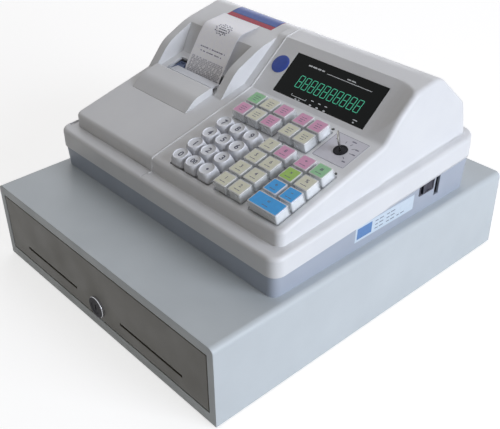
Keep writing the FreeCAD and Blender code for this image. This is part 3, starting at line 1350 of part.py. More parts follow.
def make_display():
    """Dark window in its rebate, and the three boards with the display tube on one of them."""
    window = box("WindowGlass", ("-window_width / 2", "window_width / 2"),
                 ("window_rise - window_height / 2", "window_rise + window_height / 2"), ("-window_wall", "0"))
    part("display_window", on_face_from(window, "window_x"))

    board = box("DisplayBoard", ("-display_board_width / 2", "display_board_width / 2"),
                ("window_rise - display_board_height / 2", "window_rise + display_board_height / 2"),
                ("-display_board_drop - board_wall", "-display_board_drop"))
    tube = box("DisplayTube", ("-tube_width / 2", "tube_width / 2"),
               ("window_rise - tube_height / 2", "window_rise + tube_height / 2"),
               ("-display_board_drop", "-display_board_drop + tube_depth"))
    keys = box("KeyBoard", ("0", "key_board_right - key_board_left"), ("0", "key_board_far - key_board_near"),
               ("0", "board_wall"))
    on_deck(keys, "key_board_left", "key_board_near", "-key_board_drop - board_wall")
    height = "base_floor_z + main_board_rise"
    main = box("MainBoard", ("main_board_left", "main_board_right"), ("main_board_front", "main_board_rear"),
               (height, height + " + board_wall"))
    part("circuit_boards", group("CircuitBoards", [on_face_from(board, "window_x"), on_face_from(tube, "window_x"),
                                                   keys, main]))


def make_mode_key():
    """Plug of the mode lock with its flat key standing in it."""
    drop = "mode_plug_drop"
    plug = doc_rod("ModePlug", "mode_radius", drop + " + mode_plug_proud")
    tie(plug, "Placement.Base.z", "-" + drop)
    blade = prism("ModeBlade", "xz", [("-key_blade_width / 2", "0"), ("key_blade_width / 2", "0"),
                                      ("key_blade_width / 2", "key_blade_height", "key_blade_width / 4"),
                                      ("-key_blade_width / 2", "key_blade_height", "key_blade_width / 4")],
                  "-key_blade_wall / 2", "key_blade_wall / 2")
    hole = rod("ModeBladeHole", "y", "key_hole_radius", "-overrun", "overrun", "0",
               "key_blade_height - key_blade_width / 2")
    blade = cut("ModeBladeHoled", blade, hole)
    blade.Placement = Placement(Vector(), Rotation(Vector(0, 0, 1), measure("90 + key_blade_angle")))
    tie(blade, "Placement.Rotation.Angle", "90 + key_blade_angle")
    part("mode_key", on_deck(fuse("ModeKey", plug, blade), "mode_x", "mode_rise", "0"))


# Keys

def make_key(label, across, rise, width, round_top):
    """One key cap with the stem under it that passes through the pocket's floor."""
    name = "Cap_" + label
    half_x, half_y = "(%s) / 2" % width, "key_side / 2"
    corner, draft = ("number_corner", "-number_draft") if round_top else ("key_corner", "-key_draft")
    cap = prism(name, "xy", [("-" + half_x, "-" + half_y, corner), (half_x, "-" + half_y, corner),
                             (half_x, half_y, corner), ("-" + half_x, half_y, corner)],
                "-key_sink", "key_height", draft)
    if round_top:
        cone = doc.addObject("Part::Cone", name + "Cone")
        tie(cone, "Radius1", "number_foot_radius")
        tie(cone, "Radius2", "number_top_radius")
        tie(cone, "Height", "key_height + key_sink")
        tie(cone, "Placement.Base.z", "-key_sink")
        dish = doc.addObject("Part::Sphere", name + "Dish")
        tie(dish, "Radius", "dish_radius")
        tie(dish, "Placement.Base.z", "key_height + dish_radius - dish_depth")
        cap = cut(name + "Dished", shared(name + "Round", cap, cone), dish)
    else:
        top = measure("key_height")
        picks = edges_where(cap.Tip.Shape, lambda near, far: near.z > top - NEAR)
        round_body(cap, name + "Edge", "key_edge", picks)
    stem = box(name + "Stem", ("-stem_side / 2", "stem_side / 2"), ("-stem_side / 2", "stem_side / 2"),
               ("-key_sink - stem_length", "0"))
    part(label, on_deck(fuse(name + "Whole", cap, stem), across, rise))


# The whole register

def check_and_export():
    """Stop at anything that failed, and then write each sub-part's own file."""
    doc.recompute()
    for item in doc.Objects:
        if "Invalid" in item.State or "Error" in item.State:
            raise RuntimeError("failed: " + item.Label)
    for item in PARTS:
        if item.Shape.isNull() or not item.Shape.isValid() or not item.Shape.Solids:
            raise RuntimeError("no good solid: " + item.Label)
    os.makedirs("parts", exist_ok=True)
    for item in PARTS:
        item.Shape.exportStep(os.path.join("parts", item.Label + ".step"))
    print("%d sub-parts written" % len(PARTS))


def main():
    fill_sheet()
    make_case()
    make_case_rails()
    make_drawer_box()
    make_drawer_front()
    make_lock()
    make_tray()
    make_latch()
    make_base()
    make_power_switch()
    make_upper_case()
    make_printer_cover()
    make_hump()
    make_paper()
    make_platen()
    make_printer_frame()
    make_display()
    make_mode_key()
    for place in key_places():
        make_key(*place)
    check_and_export()


main()
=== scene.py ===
import logging
import math
import random
from dataclasses import dataclass
from enum import Enum
from typing import Any, Callable, Iterable, Sequence

import bpy
from mathutils import Matrix, Vector
from mathutils.bvhtree import BVHTree


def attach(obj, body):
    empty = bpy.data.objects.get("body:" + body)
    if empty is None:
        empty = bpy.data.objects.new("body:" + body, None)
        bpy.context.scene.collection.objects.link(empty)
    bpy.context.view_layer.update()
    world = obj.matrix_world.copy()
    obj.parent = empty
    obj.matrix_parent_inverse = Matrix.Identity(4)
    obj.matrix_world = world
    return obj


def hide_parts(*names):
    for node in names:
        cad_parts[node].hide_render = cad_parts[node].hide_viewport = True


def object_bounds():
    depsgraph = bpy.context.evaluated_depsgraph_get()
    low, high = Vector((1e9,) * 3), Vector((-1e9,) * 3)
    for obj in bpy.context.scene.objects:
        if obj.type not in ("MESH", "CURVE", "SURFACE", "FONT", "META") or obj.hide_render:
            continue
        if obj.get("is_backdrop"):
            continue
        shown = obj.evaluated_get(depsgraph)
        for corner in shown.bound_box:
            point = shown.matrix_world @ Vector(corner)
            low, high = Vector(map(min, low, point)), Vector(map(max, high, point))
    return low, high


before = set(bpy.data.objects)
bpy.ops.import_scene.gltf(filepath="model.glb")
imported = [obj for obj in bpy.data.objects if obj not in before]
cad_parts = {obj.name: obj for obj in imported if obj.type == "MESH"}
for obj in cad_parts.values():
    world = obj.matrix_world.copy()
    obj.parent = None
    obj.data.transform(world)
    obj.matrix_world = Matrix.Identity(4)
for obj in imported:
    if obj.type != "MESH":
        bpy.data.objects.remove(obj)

# The looks of a ticket register on its cash drawer. Sizes are in millimetres until a mesh is built.

MM = 0.001
# Blender's wave texture takes the sine of 20 times its scale times the place.
WAVE_FACTOR = 20
LOG = logging.getLogger("register")
Ring = list[Vector]
Tree = bpy.types.NodeTree
Socket = bpy.types.NodeSocket


def linear(colour: str) -> tuple[float, float, float, float]:
    """Turn an sRGB hex colour into the linear one that shaders take.

    Args:
        colour: Six hex digits after a hash mark.

    Returns:
        Red, green, blue and an alpha of one.
    """
    channels = []
    for start in (1, 3, 5):
        value = int(colour[start:start + 2], 16) / 255
        channels.append(value / 12.92 if value <= 0.04045 else ((value + 0.055) / 1.055) ** 2.4)
    return (channels[0], channels[1], channels[2], 1.0)


# Patterns

def add(tree: Tree, kind: str, values: dict[Any, Any] | None = None, links: dict[Any, Socket] | None = None,
        **settings: Any) -> bpy.types.Node:
    """Add a node with its settings and links.

    Args:
        tree: The material's node tree.
        kind: The node's type.
        values: Values for its input sockets, by name or number.
        links: Sockets that feed its inputs, by name or number.
        settings: The node's own properties.

    Returns:
        The new node.
    """
    node = tree.nodes.new(kind)
    for name, value in settings.items():
        setattr(node, name, value)
    for name, value in (values or {}).items():
        node.inputs[name].default_value = value
    for name, socket in (links or {}).items():
        tree.links.new(socket, node.inputs[name])
    return node


def own_place(tree: Tree) -> Socket:
    """The place of a point in its object's own axes, in metres."""
    return add(tree, "ShaderNodeTexCoord").outputs["Object"]


def along(tree: Tree, axis: int) -> Socket:
    """How far a point lies along one of its object's axes, in metres."""
    return add(tree, "ShaderNodeSeparateXYZ", links={0: own_place(tree)}).outputs[axis]


def shades(tree: Tree, factor: Socket, low: str, high: str) -> Socket:
    """Spread two colours over a factor.

    Args:
        tree: The material's node tree.
        factor: What picks the colour.
        low: Colour at 0.3 and under.
        high: Colour at 0.7 and over.

    Returns:
        The colour.
    """
    ramp = add(tree, "ShaderNodeValToRGB", links={0: factor})
    for stop, place, colour in zip(ramp.color_ramp.elements, (0.3, 0.7), (low, high)):
        stop.position = place
        stop.color = linear(colour)
    return ramp.outputs[0]


def between(tree: Tree, factor: Socket, low: float, high: float, start: float = 0.3,
            stop: float = 0.7) -> Socket:
    """Spread a number over a factor.

    Args:
        tree: The material's node tree.
        factor: What picks the number.
        low: The number at the start.
        high: The number at the stop.
        start: The factor at which the change starts.
        stop: The factor at which it is complete.

    Returns:
        The number.
    """
    return add(tree, "ShaderNodeMapRange", {1: start, 2: stop, 3: low, 4: high}, {0: factor}).outputs[0]


def relief(tree: Tree, height: Socket, depth: float, strength: float, edge: float,
           swell: Socket | None = None) -> Socket:
    """Turn a height into a bumped normal, over edges softened as a tool or a bend leaves them.

    Args:
        tree: The material's node tree.
        height: The height from 0 to 1.
        depth: How deep it is in millimetres.
        strength: How much of it shows.
        edge: Radius of the softened edges in millimetres.
        swell: Radius of the softened edges in metres, where it isn't the same all over.

    Returns:
        The normal.
    """
    bump = add(tree, "ShaderNodeBump", {"Strength": strength, "Distance": depth * MM}, {"Height": height})
    if edge:
        soft = add(tree, "ShaderNodeBevel", {"Radius": edge * MM}, {"Radius": swell} if swell else None,
                   samples=6)
        tree.links.new(soft.outputs[0], bump.inputs["Normal"])
    return bump.outputs[0]


@dataclass(frozen=True)
class Grain:
    """Noise whose grains have a real size, with finer layers in it and a stretch along each axis."""

    size: float
    detail: float = 2.0
    stretch: tuple[float, float, float] = (1.0, 1.0, 1.0)

    def pattern(self, tree: Tree) -> Socket:
        """Make the noise.

        Args:
            tree: The material's node tree.

        Returns:
            The noise's factor.
        """
        place = own_place(tree)
        mapped = add(tree, "ShaderNodeMapping", {"Scale": self.stretch}, {"Vector": place}).outputs[0]
        values = {"Scale": 1 / (self.size * MM), "Detail": self.detail}
        return add(tree, "ShaderNodeTexNoise", values, {"Vector": mapped}).outputs[0]


@dataclass(frozen=True)
class Turns:
    """Rings about an axis along X: the edges of a wound strip, drawn coarser than paper is thick."""

    width: float
    middle: tuple[float, float, float]
    wander: float = 0.4

    def pattern(self, tree: Tree) -> Socket:
        """Make the rings.

        Args:
            tree: The material's node tree.

        Returns:
            The rings' factor.
        """
        offset = [-value * MM for value in self.middle]
        moved = add(tree, "ShaderNodeMapping", {"Location": offset}, {"Vector": own_place(tree)}).outputs[0]
        values = {"Scale": 1 / (self.width * MM * WAVE_FACTOR), "Distortion": self.wander}
        return add(tree, "ShaderNodeTexWave", values, {"Vector": moved}, wave_type="RINGS",
                   rings_direction="X").outputs[1]


Pattern = Grain | Turns


# Finishes

@dataclass(frozen=True)
class Finish:
    """A surface: its colour, its roughness and its relief, each broken up by a pattern where it has one."""

    name: str
    colour: str
    roughness: float = 0.4
    ior: float = 1.5
    shade: str = ""
    # Light of its own: real on the lit phosphor, painted light on the ticket paper.
    glow: float = 0.0
    clouds: Pattern | None = None
    wear: Pattern | None = None
    spread: tuple[float, float] = (0.0, 0.0)
    texture: Pattern | None = None
    depth: float = 0.05
    strength: float = 0.3
    edge: float = 0.0

    def build(self) -> bpy.types.Material:
        """Make the material once and hand it back after that.

        Returns:
            The material.
        """
        material = bpy.data.materials.get(self.name)
        if material is None:
            material = bpy.data.materials.new(self.name)
            material.use_nodes = True
            material.diffuse_color = linear(self.colour)
            material.roughness = self.roughness
            tree = material.node_tree
            tree.nodes.clear()
            add(tree, "ShaderNodeOutputMaterial", links={"Surface": self.surface(tree)})
        return material

    def surface(self, tree: Tree) -> Socket:
        """Make the shader.

        Args:
            tree: The material's node tree.

        Returns:
            The shader's output.
        """
        colour = linear(self.colour)
        values = {"Base Color": colour, "Roughness": self.roughness, "IOR": self.ior, **self.extras()}
        if self.glow:
            values |= {"Emission Color": colour, "Emission Strength": self.glow}
        links = {}
        if self.clouds:
            links["Base Color"] = shades(tree, self.clouds.pattern(tree), *self.tones())
        if self.wear:
            low, high = (self.roughness + change for change in self.spread)
            links["Roughness"] = between(tree, self.wear.pattern(tree), low, high)
        if self.texture:
            links["Normal"] = relief(tree, self.texture.pattern(tree), self.depth, self.strength, self.edge,
                                     self.swell(tree))
        plain = {name: value for name, value in values.items() if name not in links}
        return add(tree, "ShaderNodeBsdfPrincipled", plain, links).outputs[0]

    def extras(self) -> dict[str, float]:
        """Inputs of the shader that only this kind of surface sets."""
        return {}

    def tones(self) -> tuple[str, str]:
        """The colours at the low and the high end of the clouds."""
        return self.shade, self.colour

    def swell(self, tree: Tree) -> Socket | None:
        """Radius of the softened edges in metres, where it isn't the same all over."""
        return None


@dataclass(frozen=True)
class MouldedPlastic(Finish):
    """Injection moulded plastic from a spark-eroded tool: a fine even grain that spreads the highlights."""

    clouds: Pattern | None = Grain(45.0, 4.0)
    wear: Pattern | None = Grain(18.0, 3.0)
    spread: tuple[float, float] = (-0.05, 0.05)
    texture: Pattern | None = Grain(0.9)
    strength: float = 0.35
    edge: float = 0.5


@dataclass(frozen=True)
class BlendedPlastic(MouldedPlastic):
    """The same moulded plastic with one broad soft blend, where the display face runs up into its cheek."""

    start: float = 125.5
    full: float = 131.0
    front: float = 20.0
    ramp: float = 5.0
    broad: float = 4.5

    def swell(self, tree: Tree) -> Socket:
        """Make a radius that grows to the right of the window and behind the crease.

        Args:
            tree: The material's node tree.

        Returns:
            The radius in metres.
        """
        fine, broad = self.edge * MM, self.broad * MM
        across = between(tree, along(tree, 0), fine, broad, self.start * MM, self.full * MM)
        behind = between(tree, along(tree, 1), fine, broad, self.front * MM, (self.front + self.ramp) * MM)
        return add(tree, "ShaderNodeMath", links={0: across, 1: behind}, operation="MINIMUM").outputs[0]


@dataclass(frozen=True)
class SmoothPlastic(MouldedPlastic):
    """Engineering plastic from a finely blasted tool: smoother than the case, with sharper edges."""

    texture: Pattern | None = Grain(0.8)
    depth: float = 0.03
    strength: float = 0.25
    edge: float = 0.3


@dataclass(frozen=True)
class KeyPlastic(MouldedPlastic):
    """Moulded plastic from a nearly polished tool, as fingers keep it: only a trace of grain."""

    texture: Pattern | None = Grain(0.5)
    depth: float = 0.01
    strength: float = 0.2
    edge: float = 0.25


@dataclass(frozen=True)
class PowderCoat(Finish):
    """Powder coat baked on steel sheet: a soft orange peel, and some rubbing that dulls it in places."""

    clouds: Pattern | None = Grain(70.0, 5.0)
    wear: Pattern | None = Grain(30.0, 4.0)
    spread: tuple[float, float] = (-0.07, 0.07)
    texture: Pattern | None = Grain(1.8, 1.0)
    depth: float = 0.06
    edge: float = 0.8


@dataclass(frozen=True)
class PlatedSteel(Finish):
    """Zinc plated sheet: a grey metal with faint rolling lines and cloudy plating."""

    clouds: Pattern | None = Grain(14.0, 3.0)
    wear: Pattern | None = Grain(2.5, 2.0, (1.0, 0.05, 1.0))
    spread: tuple[float, float] = (-0.08, 0.1)
    texture: Pattern | None = Grain(2.5, 2.0, (1.0, 0.05, 1.0))
    depth: float = 0.02
    strength: float = 0.2
    edge: float = 0.3

    def extras(self) -> dict[str, float]:
        """Make it a metal."""
        return {"Metallic": 1.0}


@dataclass(frozen=True)
class PolishedPlate(PlatedSteel):
    """Nickel or chrome over turned brass: bright, with fine rings and hairlines from use."""

    clouds: Pattern | None = None
    wear: Pattern | None = Grain(1.2, 3.0, (1.0, 0.2, 4.0))
    spread: tuple[float, float] = (0.0, 0.12)
    texture: Pattern | None = Grain(1.2, 3.0, (1.0, 0.2, 4.0))
    depth: float = 0.01
    strength: float = 0.15
    edge: float = 0.25


@dataclass(frozen=True)
class FacedPlate(PolishedPlate):
    """A bright plated ring whose flat front is painted dark, a painted reflection of the dark room in front
    of it, so that only its bevel shines.
    """

    edge: float = 0.15
    enamel_end: float = -202.4
    bevel_start: float = -202.2
    face: str = "#16151D"
    face_roughness: float = 0.5
    face_shine: float = 0.15

    def surface(self, tree: Tree) -> Socket:
        """Make the painted dark front and the plate on the bevel and the side.

        Args:
            tree: The material's node tree.

        Returns:
            The shader's output.
        """
        bevel = between(tree, along(tree, 1), 0.0, 1.0, self.enamel_end * MM, self.bevel_start * MM)
        links = {"Base Color": shades(tree, bevel, self.face, self.colour), "Metallic": bevel,
                 "Roughness": between(tree, bevel, self.face_roughness, self.roughness),
                 "Specular IOR Level": between(tree, bevel, self.face_shine, 0.5),
                 "Normal": relief(tree, self.texture.pattern(tree), self.depth, self.strength, self.edge)}
        return add(tree, "ShaderNodeBsdfPrincipled", links=links).outputs[0]


@dataclass(frozen=True)
class MouldedRubber(Finish):
    """Moulded or ground rubber: dark, matt and a little dusty."""

    clouds: Pattern | None = Grain(5.0, 4.0)
    texture: Pattern | None = Grain(0.7)
    strength: float = 0.4
    edge: float = 0.4

    def tones(self) -> tuple[str, str]:
        """Let the dust be the lighter of the two."""
        return self.colour, self.shade


@dataclass(frozen=True)
class ThermalPaper(Finish):
    """Coated ticket paper: smooth and faintly blotched by its fibres."""

    clouds: Pattern | None = Grain(3.0, 6.0, (1.0, 1.0, 0.4))
    texture: Pattern | None = Grain(0.8, 4.0)
    depth: float = 0.02
    strength: float = 0.25


@dataclass(frozen=True)
class WoundPaper(Finish):
    """Ticket paper wound on a roll: white, with the edges of its turns as fine rings on both ends."""

    clouds: Pattern | None = Turns(0.7, (-93.25, 90.0, 151.0))
    texture: Pattern | None = Turns(0.7, (-93.25, 90.0, 151.0))


@dataclass(frozen=True)
class ClearStyrene(Finish):
    """Clear moulded cap: what lies under it shows, under a light haze and a sharp gloss."""

    texture: Pattern | None = Grain(6.0)
    depth: float = 0.1
    strength: float = 0.15
    edge: float = 0.3
    cover: float = 0.2

    def extras(self) -> dict[str, float]:
        """Let what lies under it show."""
        return {"Alpha": self.cover}


@dataclass(frozen=True)
class PrintedCard(Finish):
    """Coloured card or film: flat colour with a little mottle under a clear gloss."""

    clouds: Pattern | None = Grain(4.0, 5.0)
    coat: float = 0.0
    shine: float = 0.4

    def extras(self) -> dict[str, float]:
        """Lay the gloss of the clear top on it."""
        return {"Coat Weight": self.coat, "Coat Roughness": 0.1, "Specular IOR Level": self.shine}


@dataclass(frozen=True)
class Ink(Finish):
    """Screen printed ink: thin, matt and slightly uneven where the screen lifted."""

    wear: Pattern | None = Grain(1.0)
    spread: tuple[float, float] = (-0.1, 0.1)


@dataclass(frozen=True)
class BoardLacquer(Finish):
    """Solder mask over copper: glossy green with lighter tracks under it."""

    run: float = 9.0

    def surface(self, tree: Tree) -> Socket:
        """Make the lacquer, with tracks from a grid of short runs.

        Args:
            tree: The material's node tree.

        Returns:
            The shader's output.
        """
        green = linear(self.colour)
        values = {"Scale": 1 / (self.run * MM), "Mortar Size": 0.03, "Color1": green, "Color2": green,
                  "Mortar": linear(self.shade)}
        tracks = add(tree, "ShaderNodeTexBrick", values, {"Vector": own_place(tree)}).outputs[0]
        return add(tree, "ShaderNodeBsdfPrincipled", {"Roughness": self.roughness, "IOR": self.ior},
                   {"Base Color": tracks}).outputs[0]


# Pale ABS, moulded: an off-white that looks cool in the light and grey in the shade.
PALE_ABS = MouldedPlastic("pale_abs_spark_textured", "#E5E6E8", 0.42, 1.54, "#E0E1E4")
HOOD_ABS = BlendedPlastic("pale_abs_spark_textured_hood", "#E5E6E8", 0.42, 1.54, "#E0E1E4")
# The same ABS, lighter and smoother along the seam's edge: the lighter colour is a painted highlight, a
# brighter line beside the seam.
BEAD_ABS_PAINTED_HIGHLIGHT = MouldedPlastic("pale_abs_edge_painted_highlight", "#F4F5F8", 0.25, 1.54, "#F0F1F4", depth=0.02,
                          strength=0.2, edge=0.0)
# The same ABS tinted a blue grey for the tub: a quiet band under the pale case.
GREY_ABS = MouldedPlastic("blue_grey_abs_spark_textured", "#A9B1BF", 0.45, 1.54, "#A3ABB9")
# Polyester powder coat on bent sheet: a cool light grey with a soft sheen.
DRAWER_COAT = PowderCoat("grey_powder_coat", "#C9D0D4", 0.42, 1.5, "#C2C9CD")
# The same coat made a warm dark grey on the drawer's front, as painted shade: it stands for the shade on a
# front that faces away from the lamps, the darkest large face of the register.
FRONT_COAT_PAINTED_SHADE = PowderCoat("grey_powder_coat_front_painted_shade", "#75736D", 0.46, 1.45, "#6F6D67")
# Zinc on rolled sheet: a dull cloudy metal inside the drawer and on the screws.
ZINC = PlatedSteel("zinc_plated_sheet", "#BFC2C6", 0.36, 1.5, "#9DA0A5")
# Chrome on turned brass: the inlet's pins glint out of their dark well.
CHROME = PolishedPlate("chrome_on_turned_brass", "#C6C8CC", 0.12)
# Nickel over turned zinc with its front painted dark, a painted reflection of the dark room: a dark disc
# inside one bright line.
FACED_RING = FacedPlate("nickel_ring_with_painted_dark_front", "#C2C3C8", 0.14)
# Nickel on a stamped key: a mid grey metal that catches the lamp on its bow.
NICKEL = PolishedPlate("nickel_plated_key", "#94938F", 0.2)
# A dead matt near black on the plugs, a painted dark reflection standing for plugs that mirror a dark room,
# so that it stays dark wherever the light comes from.
DARK_PLUG_PAINTED_REFLECTION = PrintedCard("black_plug_painted_reflection", "#15151C", 0.5, 1.5, "#111118", shine=0.15)
# High-impact polystyrene, moulded: near black and dull, so that coins show up in it.
TRAY_STYRENE = MouldedPlastic("black_styrene_moulded", "#2E3034", 0.55, 1.59, "#292B2F", texture=Grain(1.2),
                              depth=0.06, strength=0.4, edge=0.4)
# Glass-filled nylon, moulded: a black with a slight sheen, for small technical parts.
BLACK_NYLON = SmoothPlastic("black_nylon_moulded", "#1E1F22", 0.38, 1.53, "#1A1B1E")
# Slate blue polycarbonate blend, moulded: the printer reads as a part of its own under the lid.
PRINTER_NYLON = SmoothPlastic("slate_blue_pc_moulded", "#5A6786", 0.4, 1.58, "#526080")
# Clear blue-tinted polycarbonate with a frosted top: a pale cool strip.
TEAR_BAR = SmoothPlastic("frosted_pc_moulded", "#D2D5DC", 0.35, 1.58, "#CCCFD6", depth=0.02, strength=0.2,
                         edge=0.2)
# Nylon with a trace of blue, moulded: the rocker and its bezel look black, and blue where they shine.
SWITCH_NYLON = SmoothPlastic("blue_black_nylon_moulded", "#1D1E33", 0.4, 1.53, "#191A2D")
# Moulded rubber: matt feet and a matt platen with a bloom of dust.
RUBBER = MouldedRubber("black_rubber_moulded", "#222224", 0.75, 1.52, "#3A3A3C")
# White ABS, moulded smooth: bright number caps with a soft highlight in each dish.
KEY_ABS = KeyPlastic("white_abs_keycap", "#E6E8EE", 0.3, 1.54, "#E0E2E8")
# The plainer white ABS of the cores: a white rim of light under the clear caps.
CORE_ABS = KeyPlastic("white_abs_key_core", "#EEF0F2", 0.35, 1.54, "#E8EAEC")
# Clear styrene, moulded, whiter and less clear on the rim round each card: a painted highlight where the
# cap's edge gathers light.
CLEAR_RIM_PAINTED_HIGHLIGHT = ClearStyrene("clear_styrene_cap_rim_painted_highlight", "#FFFFFF", 0.08, 1.59, cover=0.62)
# The same styrene on the walls: they let the core show with only a sharp gloss on them.
CLEAR_SIDE = ClearStyrene("clear_styrene_cap_side", "#EEF2F6", 0.1, 1.59, cover=0.3)
# Coated thermal paper: the whitest thing on the register, with a faint glow of painted light that lifts the
# strip where it lies in shade.
PAPER = ThermalPaper("thermal_paper", "#F6F6FB", 0.5, 1.45, "#F0F0F6", glow=0.1)
# The same paper on its roll: white ends with fine grey rings.
ROLL_PAPER = WoundPaper("thermal_paper_wound", "#F2F2F4", 0.55, 1.45, "#CFCFD4")
# Thermal print: the upper block of the ticket reads as grey lettering from afar.
PRINT_INK = Ink("thermal_print_grey", "#4E4F66", 0.5)
# Thin thermal print: a pale close block at the mouth.
FAINT_INK = Ink("thermal_print_faint", "#CBCBD4", 0.5)
# Pad print in the dished caps: a soft blue black, never pure black.
DARK_INK = Ink("pad_print_dark", "#474A5E", 0.5)
# Offset print on card: the signs look grey through the clear caps.
LEGEND_INK = Ink("card_print_dark", "#5C5C70", 0.5)
# White screen print on the pane: crisp thin lines on black.
WHITE_INK = Ink("screen_print_white", "#E4E8EC", 0.5)
# Grey screen print: marks that only just stand out from the pale case.
GREY_INK = Ink("screen_print_grey", "#747284", 0.55)
# Blue grey screen print on the wall's film: rows that look like small type.
DASH_INK = PrintedCard("screen_print_dash", "#7C879A", 0.5, 1.5, "#748092")
# Polyester film printed blue: the hood's label, glossy enough to hold a faint highlight.
BLUE_FILM = PrintedCard("blue_polyester_film", "#3A5CAE", 0.4, 1.5, "#3455A4", coat=0.1, shine=0.25)
# The same film in navy: a thin dark border round the blue.
NAVY_FILM = PrintedCard("navy_polyester_film", "#243A78", 0.4, 1.5, "#20356F", coat=0.1, shine=0.2)
# The same film in sky blue: the one coloured square on the wall.
SKY_FILM = PrintedCard("sky_blue_polyester_film", "#5B87BE", 0.4, 1.5, "#5580B7", coat=0.1, shine=0.3)
# The same film nearly white: it shows against the tub by its gloss.
PALE_FILM = PrintedCard("pale_blue_polyester_film", "#CFDDEA", 0.35, 1.6, "#C9D7E4", coat=0.2)
# The same film in red: the band along the front of the hood's label.
RED_FILM = PrintedCard("red_polyester_film", "#B11E40", 0.4, 1.5, "#A91B3B", coat=0.1, shine=0.2)
# The same film in a pale lavender: a square round the mode lock, a little darker than the deck.
PLATE_FILM = PrintedCard("lavender_polyester_film", "#D3D2DB", 0.4, 1.6, "#CFCED7", coat=0.1)
# Blue print under a poured resin dome: a deep even blue with a wet gloss.
BADGE_RESIN = PrintedCard("blue_print_under_resin_dome", "#2D4FB2", 0.3, 1.5, "#2948A6", coat=0.2,
                           shine=0.25)
# Smoked acrylic with an anti-glare hard coat: nearly black, with only a faint veil of reflection.
SMOKED_PANE = PrintedCard("smoked_acrylic_pane", "#050A0A", 0.22, 1.49, "#040909", shine=0.12)
# Lit phosphor of a vacuum display: a soft green of its own that the room light hardly changes.
PHOSPHOR = Finish("green_phosphor", "#3DAE8A", 0.3, glow=0.55)
# Solder mask over copper: glossy green boards inside the case.
BOARD = BoardLacquer("green_solder_mask", "#245A3A", 0.3, 1.55, "#3F8A58")


class CapColour(Enum):
    """The colours of card under the clear key caps, each with the shade that it mottles to."""

    CREAM = ("#E6E5D0", "#DDDCC5")
    PINK = ("#E2A2C6", "#DA98BD")
    GREEN = ("#96D09C", "#8CC793")
    LIME = ("#A3CD5A", "#99C251")
    BLUE = ("#28AAF6", "#22A0EA")

    def card(self) -> PrintedCard:
        """The finish of this colour of card."""
        return PrintedCard("card_" + self.name.lower(), self.value[0], 0.4, 1.5, self.value[1], coat=0.25)


# Shapes

def superellipse(half_x: float, half_y: float, power: float, height: float, count: int = 48) -> Ring:
    """A ring between a rounded square and an ellipse.

    Args:
        half_x: Half its width.
        half_y: Half its depth.
        power: 2 for an ellipse, more for a squarer ring.
        height: Its height.
        count: How many points it has.

    Returns:
        The ring's points.
    """
    ring = []
    for index in range(count):
        turn = 2 * math.pi * index / count
        c, s = math.cos(turn), math.sin(turn)
        x = half_x * math.copysign(abs(c) ** (2 / power), c)
        y = half_y * math.copysign(abs(s) ** (2 / power), s)
        ring.append(Vector((x, y, height)))
    return ring


def turned(profile: Iterable[tuple[float, float]], count: int = 48) -> list[Ring]:
    """Make the rings of a turned shape.

    Args:
        profile: Radius and height of each ring, from the foot up.
        count: How many points each ring has.

    Returns:
        The rings.
    """
    return [superellipse(radius, radius, 2.0, height, count) for radius, height in profile]


def rounded(half_x: float, half_y: float, radius: float, height: float, edges: int = 6) -> Ring:
    """A rectangle with rounded corners, as a ring.

    Args:
        half_x: Half its width.
        half_y: Half its depth.
        radius: Radius of its corners.
        height: Its height.
        edges: How many edges each corner has.

    Returns:
        The ring's points.
    """
    ring = []
    for corner, (east, north) in enumerate(((1, 1), (-1, 1), (-1, -1), (1, -1))):
        for step in range(edges + 1):
            turn = (corner + step / edges) * math.pi / 2
            x = east * (half_x - radius) + radius * math.cos(turn)
            y = north * (half_y - radius) + radius * math.sin(turn)
            ring.append(Vector((x, y, height)))
    return ring


def outline(ring: Ring, x: float = 0.0, y: float = 0.0) -> list[tuple[float, float]]:
    """The flat places of a ring's points, moved by an offset."""
    return [(x + point.x, y + point.y) for point in ring]


def even(low: float, high: float, count: int) -> list[float]:
    """Even places between two, both ends included."""
    return [low + (high - low) * index / count for index in range(count + 1)]


def turn_z(degrees: float) -> Matrix:
    """A turn about the upright axis."""
    return Matrix.Rotation(math.radians(degrees), 4, "Z")


def curve_mesh(curve: bpy.types.Curve) -> bpy.types.Mesh:
    """Turn a curve into a mesh and forget the curve.

    Args:
        curve: The curve.

    Returns:
        The mesh.
    """
    holder = bpy.data.objects.new(curve.name, curve)
    mesh = bpy.data.meshes.new_from_object(holder)
    bpy.data.objects.remove(holder)
    bpy.data.curves.remove(curve)
    return mesh


def word_mesh(text: str, size: float, swell: float) -> bpy.types.Mesh:
    """Flat shapes of a few plain signs.

    Args:
        text: The signs.
        size: Their height of type.
        swell: How much bolder their strokes are made.

    Returns:
        The mesh, centred on its origin.
    """
    curve = bpy.data.curves.new("signs", "FONT")
    curve.body = text
    curve.size = size
    curve.offset = swell
    curve.align_x = "CENTER"
    curve.align_y = "CENTER"
    curve.resolution_u = 3
    return curve_mesh(curve)


def plate_mesh(loops: Sequence[Sequence[tuple[float, float]]], wall: float,
               bevel: float = 0.0) -> bpy.types.Mesh:
    """A flat plate cut to an outline, with holes.

    Args:
        loops: The outline and then its holes.
        wall: Its thickness.
        bevel: How much its edges are rounded.

    Returns:
        The mesh, with the plate's middle plane at height zero.
    """
    curve = bpy.data.curves.new("plate", "CURVE")
    curve.dimensions = "2D"
    curve.fill_mode = "BOTH"
    curve.extrude = wall / 2 - bevel
    curve.bevel_depth = bevel
    for loop in loops:
        spline = curve.splines.new("POLY")
        spline.points.add(len(loop) - 1)
        for point, (x, y) in zip(spline.points, loop):
            point.co = (x, y, 0.0, 1.0)
        spline.use_cyclic_u = True
    return curve_mesh(curve)


def add_object(name: str, data: bpy.types.ID) -> bpy.types.Object:
    """Make an object of some data and put it in the scene."""
    item = bpy.data.objects.new(name, data)
    bpy.context.scene.collection.objects.link(item)
    return item


